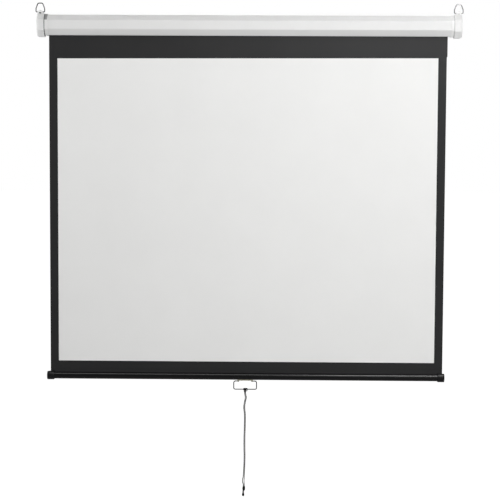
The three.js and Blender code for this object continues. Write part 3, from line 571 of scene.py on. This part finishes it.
ahead = Vector((
    math.sin(CAMERA_YAW) * math.cos(CAMERA_PITCH),
    math.cos(CAMERA_YAW) * math.cos(CAMERA_PITCH),
    math.sin(CAMERA_PITCH),
))
level = Vector((math.cos(CAMERA_YAW), -math.sin(CAMERA_YAW), 0))
above = level.cross(ahead)
right = math.cos(CAMERA_ROLL) * level + math.sin(CAMERA_ROLL) * above
upward = -math.sin(CAMERA_ROLL) * level + math.cos(CAMERA_ROLL) * above
camera_data = bpy.data.cameras.new("camera")
camera_data.sensor_width = SENSOR
camera_data.lens = FOCAL_PIXELS * SENSOR / FRAME_PIXELS
camera = new_object("camera", camera_data)
turned_to = Matrix((right, upward, -ahead)).transposed()
camera.matrix_world = Matrix.Translation(CAMERA_PLACE) @ turned_to.to_4x4()
bpy.context.scene.camera = camera


# Pull cord: its two strands

STRAND_START = (HANDLE_X, SHEET_Y, CORD_TOP)
STRAND_SPACING, STRAND_SIDES = 1.6, 12
ROUTE_STEPS, STRAND_ROUTE_STEPS = 10, 24
# From the underside of the hitch
LEFT_ROUTE = [
    (-1.75, 0, 0), (-1.75, 0, -4), (-1.6, -0.6, -10), (-0.7, -0.9, -17), (1.1, -0.6, -27),
    (-2, -0.5, -44), (-5.2, -0.3, -66.5), (-2.5, -0.4, -95), (-2.9, -0.3, -160),
    (-3.6, -0.3, -183), (-3.6, -0.3, -232), (-2.9, -0.5, -261), (-3.3, -0.5, -294),
    (-4.2, -0.4, -315), (-5.9, -0.3, -346), (-9.1, 0, -368), (-6.2, 0, -379.5), (-5.3, 0, -383),
    (-5.3, 0, -386.6),
]
RIGHT_ROUTE = [
    (1.75, 0, 0), (1.75, 0, -4), (2.1, 0.5, -10), (3.1, 0.9, -17), (5.1, 0.6, -27),
    (1.8, 0.6, -44), (-1.2, 0.4, -66.5), (1.3, 0.5, -95), (0.9, 0.4, -160), (0.2, 0.3, -183),
    (0.3, 0.3, -232), (0.8, 0.5, -261), (0.4, 0.6, -294), (-0.3, 0.5, -315), (-1.7, 0.3, -346),
    (-2.6, 0, -368), (-1.9, 0, -379.5), (-1.7, 0, -383), (-1.7, 0, -386.6),
]


def smooth_route(route, steps=ROUTE_STEPS):
    """A centripetal Catmull-Rom curve through a route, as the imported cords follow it."""
    p = np.asarray(route, float)
    p = np.concatenate([[2 * p[0] - p[1]], p, [2 * p[-1] - p[-2]]])
    points = []
    for k in range(1, len(p) - 2):
        a, b, c, d = p[k - 1 : k + 3]
        one, two, three = (max(1e-6, np.linalg.norm(v) ** 0.5) for v in (b - a, c - b, d - c))
        leave = two * ((b - a) / one - (c - a) / (one + two) + (c - b) / two)
        arrive = two * ((c - b) / two - (d - b) / (two + three) + (d - c) / three)
        for s in np.linspace(0, 1, steps, endpoint=False):
            points.append(
                b * (2 * s**3 - 3 * s**2 + 1) + leave * (s**3 - 2 * s**2 + s)
                + c * (-2 * s**3 + 3 * s**2) + arrive * (s**3 - s**2)
            )
    points.append(p[-2])
    return np.array(points)


def evenly(path, step):
    """A path again, with points a step apart."""
    along = distances(path)
    at = np.linspace(0, along[-1], max(2, round(along[-1] / step) + 1))
    return np.stack([np.interp(at, along, path[:, k]) for k in range(3)], axis=1)


def cord_piece(name, node, *parts):
    points, faces, uvs = together(*parts)
    return mesh_piece(name, points, faces, [look["cord"]], "cord", node, uvs=uvs)


def strand(name, node, route):
    smooth = smooth_route(np.array(route) + STRAND_START, STRAND_ROUTE_STEPS)
    path = evenly(smooth, STRAND_SPACING)
    return cord_piece(name, node, tube(path, STRAND / 2, STRAND_SIDES)), path


strand_left, left_path = strand("strand_left", "cord_strand_left", LEFT_ROUTE)
strand_right, right_path = strand("strand_right", "cord_strand_right", RIGHT_ROUTE)


# Pull cord: its knots, of cord wound round solid cores

THICK = STRAND / 2  # the cord's own radius
TIGHT = 1.35  # its radius where it is pulled tight
DROP_CORD = 1.45  # its radius in the end knot
TUCKED_CORD = 1.1  # its radius where it is pushed under another turn
CUT_CORD = 1.3  # its radius at the two cut ends
RUN_SPACING, RUN_SIDES = 0.9, 10
RUN_DOME = 0.8  # how far its ends bulge out, as a share of its radius
LOOP_STEPS, WINDING_STEPS = 22, 24  # in each turn
UNEVEN, UNEVEN_RATE = 0.22, 5.3  # how far the turns of a winding stand out or in, and how often
CORE_START, CORE_END, CORE_STEPS = 0.04, 0.96, 14  # shares of the winding's height
CORE_SIDES, CORE_DOME = 14, 0.6
CORE_DEPTH = 0.9  # how deep the core lies under a winding, as a share of the cord's radius


def cord_run(path, radius=THICK):
    """A length of cord with rounded ends."""
    even_path = evenly(np.asarray(path, float), RUN_SPACING)
    return tube(even_path, radius, RUN_SIDES, domed=radius * RUN_DOME)


def loops(place, axis, radius, height, turns, start):
    """The path of loops round an axis, from place."""
    point_at = around_axis(place, axis)
    count = int(turns * LOOP_STEPS)
    shares = (k / count for k in range(count + 1))
    return [point_at(radius, start + 2 * math.pi * turns * s, height * s) for s in shares]


def winding(place, axis, profile, height, turns, thick=THICK, start=0.0):
    """Cord wound along an axis, out to a profile of (share of height, radius), and its core."""
    shares, radii = zip(*profile)
    point_at = around_axis(place, axis)
    count = round(turns * WINDING_STEPS)
    path = []
    for k in range(count + 1):
        s = k / count
        uneven = UNEVEN * math.sin(UNEVEN_RATE * turns * s + start)
        r = np.interp(s, shares, radii) - thick + uneven
        along = thick + (height - 2 * thick) * s
        path.append(point_at(r, start + 2 * math.pi * turns * s, along))
    steps = np.linspace(CORE_START, CORE_END, CORE_STEPS)
    middle = [np.array(place) + np.array(axis) * height * s for s in steps]
    inner = np.interp(steps, shares, radii) - thick * CORE_DEPTH
    return cord_run(path, thick), tube(middle, inner, CORE_SIDES, domed=CORE_DOME)


def from_place(place, offsets):
    """Points given by their offsets from a place."""
    return np.array(place) + np.array(offsets)


# The hitch: the doubled cord wound on the handle's lower wire, with its knot to the right
HITCH = (HANDLE_X, SHEET_Y, PIVOT_Z - HANDLE_DROP)
LOOPS_START = (-6.2, 0, 0)
FRONT_RUN = [
    (-1.75, 0, -5.6), (-2.2, -2.6, -4.4), (-2.0, -4.6, -1.2), (0.6, -4.6, 1.6), (3.8, -2.6, 3.6),
]
RIGHT_RUN = [
    (1.75, 0, -5.6), (2.9, -2.7, -4.3), (4.4, -4.0, -1.2), (5.6, -3.2, 1.8), (5.8, -0.6, 3.4),
]
SIDE_LOOP = [
    (6.2, -1.5, 1.2), (8.8, -1.2, -1.4), (8.4, -1.4, -4.4), (5.6, -2.2, -7), (2.2, -3.4, -8.6),
]
BALL = [(0, 2.8), (0.3, 3.8), (0.7, 3.8), (1, 2.6)]
BALL_PLACE, BALL_AXIS = (4.6, -1.3, -0.6), (0.62, 0.1, 0.78)
COLLAR = [(0, 3.5), (0.35, 4.9), (0.75, 4.6), (1, 3.4)]
COLLAR_PLACE = (-0.4, 0, -4.2)
hitch = cord_piece(
    "cord_hitch_knot", "cord_hitch",
    cord_run(loops(
        from_place(HITCH, LOOPS_START), (1, 0, 0), radius=3.9, height=8.2, turns=2.6, start=0.4,
    )),
    cord_run(smooth_route(from_place(HITCH, FRONT_RUN))),
    cord_run(smooth_route(from_place(HITCH, RIGHT_RUN))),
    cord_run(smooth_route(from_place(HITCH, SIDE_LOOP)), TIGHT),
    *winding(
        from_place(HITCH, BALL_PLACE), BALL_AXIS, BALL, height=6.4, turns=1.8, thick=TIGHT,
    ),
    *winding(
        from_place(HITCH, COLLAR_PLACE), DOWN, COLLAR, height=9.5, turns=2.3, start=1.1,
    ),
)

# The lower knot: the doubled cord wound round itself five times and pulled tight
LOWER_KNOT = (HANDLE_X - 3.5, SHEET_Y, CORD_TOP - 386.9)
BARREL = [(0, 4.6), (0.2, 5.9), (0.5, 5.6), (0.8, 6.0), (1, 4.9)]
TUCKED = [(3.0, -3.6, -2.4), (0.8, -5.2, -7), (-2.4, -4.6, -12.6), (-3.6, -2.4, -16.6)]
INTO_KNOT = THICK + 0.03  # the strands' radius where they go into the knot
into_knot = [
    [path[-3] + (0, 0, 0.4), path[-1] - (0, 0, 2), path[-1] - (0, 0, 5)]
    for path in (left_path, right_path)
]
lower_knot = cord_piece(
    "cord_knot_lower", "cord_lower_knot",
    *winding(LOWER_KNOT, DOWN, BARREL, height=19, turns=4.9, start=2.6),
    cord_run(smooth_route(from_place(LOWER_KNOT, TUCKED)), TUCKED_CORD),
    *(cord_run(run, INTO_KNOT) for run in into_knot),
)

# The end knot: a short neck, then a teardrop that widens down to the two cut ends
END_KNOT = (HANDLE_X - 6, SHEET_Y, CORD_TOP - 406.2)
DROP_START = (0, 0, -4.6)
DROP = [(0, 2.6), (0.25, 3.9), (0.55, 4.8), (0.8, 5.2), (1, 4.3)]
NECKS = [
    [(-0.8, 0, 0.8), (-0.9, 0, -2), (-1.4, 0, -5), (-1.2, 0, -8)],
    [(3.2, 0, 0.8), (2.5, 0, -2), (1.8, 0, -5), (1.2, 0, -8)],
]
END_STEPS = 8
CUT_ENDS = [
    [(1.6, -0.4, -17), (1.9, -0.6, -20), (2.2, -0.9, -22.7)],
    [(-1.6, 0.3, -17), (-2.1, 0.2, -20), (-2.6, 0, -22.5)],
]
end_knot = cord_piece(
    "cord_knot_end", "cord_end_knot",
    *(cord_run(smooth_route(from_place(END_KNOT, neck))) for neck in NECKS),
    *winding(
        from_place(END_KNOT, DROP_START), DOWN, DROP, height=17.6, turns=4.4, thick=DROP_CORD,
        start=0.7,
    ),
    *(cord_run(smooth_route(from_place(END_KNOT, end), END_STEPS), CUT_CORD) for end in CUT_ENDS),
)


# Sheet

FREE_HEIGHT = -128  # the cloth hangs free from here down to the bar
FREE_SHAPE = 0.8  # below 1, the waves grow faster under the case and above the bar
BROAD_WAVE, BROAD_LENGTH, BROAD_START = 0.28, 640, 0.9
NARROW_WAVE, NARROW_LENGTH, NARROW_START = 0.17, 290, 2.1
NARROW_SLANT = 260  # the narrow waves move sideways by a radian in this height
FORWARD = 0.45  # both waves together, so that no part of the cloth stands behind its plane
EDGE_LEAN = 3.2  # how much higher the white area's top edge is at its right end than in its middle
COLUMNS, ROWS = 160, 100
LEADER_ROWS, LOWER_ROWS, MASK_COLUMNS = 20, 8, 4
EDGE_STEP = 0.002  # of the leader's height, above and below the step in its right edge
SHEET_FRONT = SHEET_Y - SHEET_THICK / 2
MASK_FRONT = SHEET_FRONT - MASK_THICK


def drift(x, z):
    """How far the hanging cloth stands out of its plane, towards the viewer if negative."""
    share = np.clip((FREE_HEIGHT - z) / (FREE_HEIGHT - CLOTH_END), 0, 1)
    free = np.sin(math.pi * share) ** FREE_SHAPE
    broad = BROAD_WAVE * np.sin(2 * math.pi * x / BROAD_LENGTH + BROAD_START)
    slanted = 2 * math.pi * x / NARROW_LENGTH + z / NARROW_SLANT
    narrow = NARROW_WAVE * np.sin(slanted + NARROW_START)
    return free * (broad + narrow - FORWARD)


def limit_at(limit, place):
    """The value of a limit that is a number, or a function of the place along the edge."""
    return limit(place) if callable(limit) else limit


def white_top(x):
    return WHITE_TOP + EDGE_LEAN * x / WHITE_RIGHT


def leader_right(z):
    return LEADER_RIGHT if z > STEP_HEIGHT else SHEET_RIGHT


def even(n):
    return np.linspace(0, 1, n + 1)


def cloth(name, node, sides, ends, columns, rows, front, thick, materials, body):
    """A hanging panel between two sides and two ends; a second material is for its back.

    columns and rows are shares of the way from the left side to the right and from top to bottom.
    """
    (left, right), (top, bottom) = sides, ends
    across, down = np.asarray(columns), np.asarray(rows)
    layers = []
    for depth in (front, front + thick):
        layer = []
        for v in down:
            middle = limit_at(top, 0) * (1 - v) + limit_at(bottom, 0) * v
            x = limit_at(left, middle) * (1 - across) + limit_at(right, middle) * across
            z = np.array([limit_at(top, a) * (1 - v) + limit_at(bottom, a) * v for a in x])
            layer.append(np.stack([x, depth + drift(x, z), z], axis=1))
        layers.append(np.array(layer).reshape(-1, 3))
    n, m = len(across), len(down)
    back = len(materials) - 1
    faces, marks = [], []
    for i in range(m - 1):
        for j in range(n - 1):
            a = i * n + j
            b = a + n * m
            faces += [(a, a + n, a + n + 1, a + 1), (b, b + 1, b + n + 1, b + n)]
            marks += [0, back]
    rim = list(range(n)) + [i * n + n - 1 for i in range(1, m)]
    rim += [(m - 1) * n + j for j in range(n - 2, -1, -1)] + [i * n for i in range(m - 2, 0, -1)]
    for a, b in zip(rim, rim[1:] + rim[:1]):
        faces.append((a, b, b + n * m, a + n * m))
        marks.append(back)
    return mesh_piece(name, np.concatenate(layers), faces, materials, body, node, marks)


step_share = (STEP_HEIGHT - CASE_MIDDLE) / (WHITE_TOP - CASE_MIDDLE)
above_step = np.linspace(0, step_share - EDGE_STEP, LEADER_ROWS)
leader_rows = [*above_step, step_share + EDGE_STEP, 1]
black = [look["black_fabric"]]
leader = cloth(
    "leader_cloth", "black_leader", (SHEET_LEFT, leader_right), (CASE_MIDDLE, white_top),
    even(COLUMNS), leader_rows, SHEET_FRONT, SHEET_THICK, black, "case",
)
white = cloth(
    "white_cloth", "screen_sheet", (SHEET_LEFT, SHEET_RIGHT), (white_top, WHITE_BOTTOM),
    even(COLUMNS), even(ROWS), SHEET_FRONT, SHEET_THICK, [look["white_fabric"], backing], "case",
)
mask_left, mask_right = (
    cloth(
        f"side_mask_{side}", f"border_{side}", edges, (white_top, WHITE_BOTTOM),
        even(MASK_COLUMNS), even(ROWS), MASK_FRONT, MASK_THICK, black, "case",
    )
    for side, edges in (("left", (SHEET_LEFT, WHITE_LEFT)), ("right", (WHITE_RIGHT, SHEET_RIGHT)))
)
lower = cloth(
    "lower_cloth", "border_bottom", (SHEET_LEFT, SHEET_RIGHT), (WHITE_BOTTOM, CLOTH_END),
    even(COLUMNS), even(LOWER_ROWS), SHEET_FRONT, SHEET_THICK, black, "bar",
)

# The turns that stay on the roller
WRAP_TURNS = 2.1
WRAP_RADII = (19.32, 20.2)
WRAP_STEPS = 259
WRAP_SECTIONS = 9
wrap_angles = (180 - 360 * WRAP_TURNS, 180)
spiral = arc((ROLLER_Y, CASE_MIDDLE), WRAP_RADII, *wrap_angles, WRAP_STEPS)
points, faces = drawn_along_x(
    banded(spiral, SHEET_THICK), np.linspace(SHEET_LEFT, LEADER_RIGHT, WRAP_SECTIONS)
)
wraps = mesh_piece("wound_cloth", points, faces, black, "roller", "fabric_wraps")

for piece in (leader, white, mask_left, mask_right):
    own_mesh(piece)


# Case: one strip of steel folded into an octagon, its two edges rolled

FOLDS, FOLD_RADIUS, FOLD_STEPS = 7, 1.8, 7
# Near the back lip the flat steps down a little: where, from the lip, how far and how sharply
STEP_START, STEP_END, STEP_DEPTH, STEP_BEND = 4.4, 2.2, 0.35, 2
CASE_SECTIONS = 13
CURL_TURN, CURL_STEPS = 290, 30
FRONT_CURL, FRONT_CURL_END = (1.2, 1.757), 225
BACK_CURL, BACK_CURL_START = (1.55, 1.2), 282

wall_half = CASE_HALF - CASE_WALL / 2
wall_flat = wall_half - (CASE_CHAMFER - CASE_WALL / 2 * (2 - math.sqrt(2)))
front_angles = (FRONT_CURL_END + CURL_TURN, FRONT_CURL_END)
back_angles = (BACK_CURL_START, BACK_CURL_START - CURL_TURN)
front_curl = arc((LIP_FRONT, LIP_HEIGHT), FRONT_CURL, *front_angles, CURL_STEPS)
back_curl = arc((LIP_BACK, LIP_HEIGHT), BACK_CURL, *back_angles, CURL_STEPS)
fold_corners = [
    tuple(front_curl[-1]),
    (-wall_half, -wall_flat),
    (-wall_half, wall_flat),
    (-wall_flat, wall_half),
    (wall_flat, wall_half),
    (wall_half, wall_flat),
    (wall_half, -wall_flat),
    (wall_flat, -wall_half),
    (LIP_BACK + STEP_START, -wall_half),
    (LIP_BACK + STEP_END, -wall_half - STEP_DEPTH),
    tuple(back_curl[0]),
]
folds = bent(fold_corners, [FOLD_RADIUS] * FOLDS + [STEP_BEND] * 2, FOLD_STEPS)
section = banded(np.concatenate([front_curl[:-1], folds, back_curl[1:]]), CASE_WALL)
section[:, 1] += CASE_MIDDLE
points, faces = drawn_along_x(section, np.linspace(-CASE_END, CASE_END, CASE_SECTIONS))
mesh_piece("case_shell", points, faces, [look["case_paint"]], "case", "housing")

# The caps, with painted shade in their grooves and ear slots and on the left one's collar. These
# ranges hold the middles of the faces concerned
CAP_EDGE_ROUND = 0.5
GROOVE_X, GROOVE_REACH = (801.85, 805.15), 48  # the reach is from the case's middle line
EAR_SLOT_X, EAR_SLOT_Y, EAR_SLOT_Z = (818.8, 828.2), (-4.4, 2.3), (-38.6, -34.0)
UPPER_FLAT_X, UPPER_FLAT_Y, UPPER_FLAT_BOTTOM = (-802.3, -793), (-40, -17), -65.5
UPPER_FLAT_SLOPE = 0.4  # its normal points at least this much up, and this much forward


def within(limits, place):
    return limits[0] < place < limits[1]


def shade_number(middle, normal):
    """Painted shade: 1 in a groove or an ear slot, 2 on the left collar's upper front flat."""
    x, y, z = middle
    if within(GROOVE_X, abs(x)) and math.hypot(y, z - CASE_MIDDLE) < GROOVE_REACH:
        return 1
    if within(EAR_SLOT_X, abs(x)) and within(EAR_SLOT_Z, z):
        return int(within(EAR_SLOT_Y, y))
    if within(UPPER_FLAT_X, x) and within(UPPER_FLAT_Y, y) and z > UPPER_FLAT_BOTTOM:
        return 2 if min(-normal.y, normal.z) > UPPER_FLAT_SLOPE else 0
    return 0


for side, shades in (("left", (painted_dark_shade_gap, painted_shade_flat)), ("right", (painted_pale_shade_gap, painted_pale_shade_gap))):
    softened(
        f"{side}_end_cap", f"cap_{side}", CAP_EDGE_ROUND, "case", "cap_plastic", shade_number,
        shades,
    )


# Hanger rings

BEND_STEPS = 12
WIRE_SIDES = 16
WIRE_DOME = 0.5


def wire_piece(name, node, corners, radii, wire, surface_material, body):
    """A bent wire with rounded ends, through corners in millimetres."""
    path = bent(corners, radii, BEND_STEPS)
    points, faces, uvs = tube(path, wire / 2, WIRE_SIDES, domed=WIRE_DOME)
    mesh_piece(name, points, faces, [surface_material], body, node, uvs=uvs)


RING_CORNERS = [(-6, 0), (-17, 0), (-17, 14), (-9, 34.5), (9, 34.5), (17, 14), (17, 0), (6, 0)]
RING_BENDS = [3.5, 8, 6, 6, 8, 3.5]
for middle, side, surface_material in ((-RING_X, "left", dark_wire), (RING_X, "right", look["wire"])):
    corners = [(middle + x, 0, RING_Z + z) for x, z in RING_CORNERS]
    wire_piece(
        f"ring_{side}_wire", f"{side}_hanger_ring", corners, RING_BENDS, RING_WIRE, surface_material,
        f"ring_{side}",
    )


# Weight bar

KEY_HEIGHT, KEY_RADIUS = 8.6, 3.3  # the round part of the keyhole slot, which holds the spline
BAR_STEPS, KEY_STEPS, BAR_SECTIONS = 96, 28, 9
lip = math.degrees(math.asin(BAR_SLOT_HALF / BAR_RADIUS))
key = math.degrees(math.asin(BAR_SLOT_HALF / KEY_RADIUS))
outer = arc((0, 0), (BAR_RADIUS, BAR_RADIUS), 90 + lip, 450 - lip, BAR_STEPS)
keyhole = arc((0, KEY_HEIGHT), (KEY_RADIUS, KEY_RADIUS), 90 - key, key - 270, KEY_STEPS)
section = np.concatenate([outer, keyhole]) + np.array([SHEET_Y, BAR_Z])
points, faces = drawn_along_x(
    section, np.linspace(BAR_X - BAR_HALF, BAR_X + BAR_HALF, BAR_SECTIONS)
)
mesh_piece("bar_tube", points, faces, [look["bar_paint"]], "bar", "bottom_bar")

CAP_RADIUS, CAP_SLEEVE, CAP_END, CAP_BEVEL = 17, 24, 4, 2.2
CAP_GAP = 0.3  # between the bar and its caps
CAP_DISH, CAP_DISH_RADIUS = 0.5, 11.5  # the shallow dish in the cap's end
CAP_SIDES = 64
CAP_SLIT_END = 786.4  # from the middle of the bar
bore = BAR_RADIUS + CAP_GAP
mouth, end = BAR_HALF - CAP_SLEEVE, BAR_HALF + CAP_GAP + CAP_END
# (radius, distance from the bar's middle), with the rounded corners given point by point
cap_outline = [
    (bore, mouth),
    (CAP_RADIUS - CAP_BEVEL, mouth),
    (CAP_RADIUS - 0.6, mouth + CAP_BEVEL - 0.5),
    (CAP_RADIUS, mouth + CAP_BEVEL + 1),
    (CAP_RADIUS, end - CAP_BEVEL),
    (CAP_RADIUS - 0.5, end - CAP_BEVEL * 0.4),
    (CAP_RADIUS - 1.3, end - 0.15),
    (CAP_RADIUS - 2.4, end),
    (CAP_DISH_RADIUS, end),
    (CAP_DISH_RADIUS - CAP_DISH, end - CAP_DISH),
    (0, end - CAP_DISH),
    (0, end - CAP_END),
    (bore, end - CAP_END),
    (bore, mouth),
]
for way, side in ((-1, "left"), (1, "right")):
    points, faces = turned(cap_outline, CAP_SIDES, (BAR_X, SHEET_Y, BAR_Z), (way, 0, 0))
    piece = mesh_piece(
        f"bar_end_{side}", points, faces, [look["black_plastic"]], "bar", f"bar_cap_{side}",
    )
    left, right = sorted((BAR_X + way * (mouth - 1), BAR_X + way * CAP_SLIT_END))
    low = (left, SHEET_Y - BAR_SLOT_HALF, BAR_Z)
    high = (right, SHEET_Y + BAR_SLOT_HALF, BAR_Z + CAP_RADIUS + 1)
    cut(piece, *block(low, high))


# Bracket and handle

BRACKET_EDGE_ROUND = 0.35
HANDLE_CORNERS = [
    (-24, 0), (-45.6, 0), (-45.6, -HANDLE_DROP), (45.6, -HANDLE_DROP), (45.6, 0), (24, 0),
]
HANDLE_BENDS = [7, 6, 6, 7]
softened("handle_bracket", "bracket_plate", BRACKET_EDGE_ROUND, "bar", "zinc_steel")
corners = [(HANDLE_X + x, SHEET_Y, PIVOT_Z + z) for x, z in HANDLE_CORNERS]
wire_piece(
    "handle_wire", "pull_handle", corners, HANDLE_BENDS, HANDLE_WIRE, dark_wire, "handle"
)


# Light, floor and background, in metres

AMBIENT = 0.36
FLOOR_HEIGHT, FLOOR_HALF = -2.35, 40
FLOOR_GREY = 0.8
FLOOR_GLOW = 0.74  # adds to the lit floor, for the camera and for reflections, up to white
# Name, place, aim, size across and up, watts, and whether it lights matt surfaces too. The two
# overhead strips only show in glossy ones, as a glint along the bar
LAMPS = [
    ("key_light", (1.13, -2.4, 0.42), (0.1, 0, -0.6), (2.0, 0.5), 45, True),
    ("side_light", (-2.6, -0.35, -0.15), (-0.8, 0, -0.1), (0.8, 0.8), 25, True),
    ("low_light", (1.3, -2.4, -1.6), (0.5, 0, -0.1), (1.5, 0.5), 5.5, True),
    ("overhead_strip", (0.95, -0.78, 0.85), (0.5, 0, -1.48), (1.3, 0.6), 152, False),
    ("overhead_strip_left", (-0.5, -0.78, 0.85), (-0.35, 0, -1.48), (1.6, 0.6), 54, False),
]
for name, place, aim, size, power, lights_matt in LAMPS:
    data = bpy.data.lights.new(name, "AREA")
    data.shape, data.energy = "RECTANGLE", power
    data.size, data.size_y = size
    lamp = new_object(name, data)
    lamp.location = place
    lamp.rotation_mode = "QUATERNION"
    lamp.rotation_quaternion = (Vector(aim) - Vector(place)).to_track_quat("-Z", "Y")
    lamp.visible_camera = False
    lamp.visible_diffuse = lights_matt


def emptied(owner):
    """The node tree of a world or a material, with nothing in it."""
    owner.use_nodes = True
    owner.node_tree.nodes.clear()
    return owner.node_tree


def seen_directly(tree):
    """1 for rays from the camera and those that gloss and glass send on, 0 for the others."""
    light_path = tree.nodes.new("ShaderNodeLightPath")
    value = light_path.outputs["Is Camera Ray"]
    for kind in ("Is Glossy Ray", "Is Transmission Ray"):
        larger = tree.nodes.new("ShaderNodeMath")
        larger.operation = "MAXIMUM"
        tree.links.new(value, larger.inputs[0])
        tree.links.new(light_path.outputs[kind], larger.inputs[1])
        value = larger.outputs[0]
    return value


world = bpy.data.worlds.new("studio")
bpy.context.scene.world = world
tree = emptied(world)
mixed = tree.nodes.new("ShaderNodeMixShader")
tree.links.new(seen_directly(tree), mixed.inputs["Fac"])
for socket, strength in ((mixed.inputs[1], AMBIENT), (mixed.inputs[2], 1)):
    background = tree.nodes.new("ShaderNodeBackground")
    background.inputs["Color"].default_value = (1, 1, 1, 1)
    background.inputs["Strength"].default_value = strength
    tree.links.new(background.outputs[0], socket)
out = tree.nodes.new("ShaderNodeOutputWorld")
tree.links.new(mixed.outputs[0], out.inputs["Surface"])

floor_corners = [
    (x * FLOOR_HALF, y * FLOOR_HALF, FLOOR_HEIGHT) for x, y in ((-1, -1), (1, -1), (1, 1), (-1, 1))
]
floor_mesh = bpy.data.meshes.new("floor")
floor_mesh.from_pydata(floor_corners, [], [(0, 1, 2, 3)])
floor = new_object("floor", floor_mesh)
floor_look = bpy.data.materials.new("floor")
tree = emptied(floor_look)
matte, glow = tree.nodes.new("ShaderNodeBsdfDiffuse"), tree.nodes.new("ShaderNodeEmission")
matte.inputs["Color"].default_value = (FLOOR_GREY, FLOOR_GREY, FLOOR_GREY, 1)
strength = tree.nodes.new("ShaderNodeMath")
strength.operation = "MULTIPLY"
strength.inputs[1].default_value = FLOOR_GLOW
both, out = tree.nodes.new("ShaderNodeAddShader"), tree.nodes.new("ShaderNodeOutputMaterial")
tree.links.new(seen_directly(tree), strength.inputs[0])
tree.links.new(strength.outputs[0], glow.inputs["Strength"])
tree.links.new(matte.outputs[0], both.inputs[0])
tree.links.new(glow.outputs[0], both.inputs[1])
tree.links.new(both.outputs[0], out.inputs["Surface"])
floor_mesh.materials.append(floor_look)

bpy.context.scene.view_settings.view_transform = "Standard"
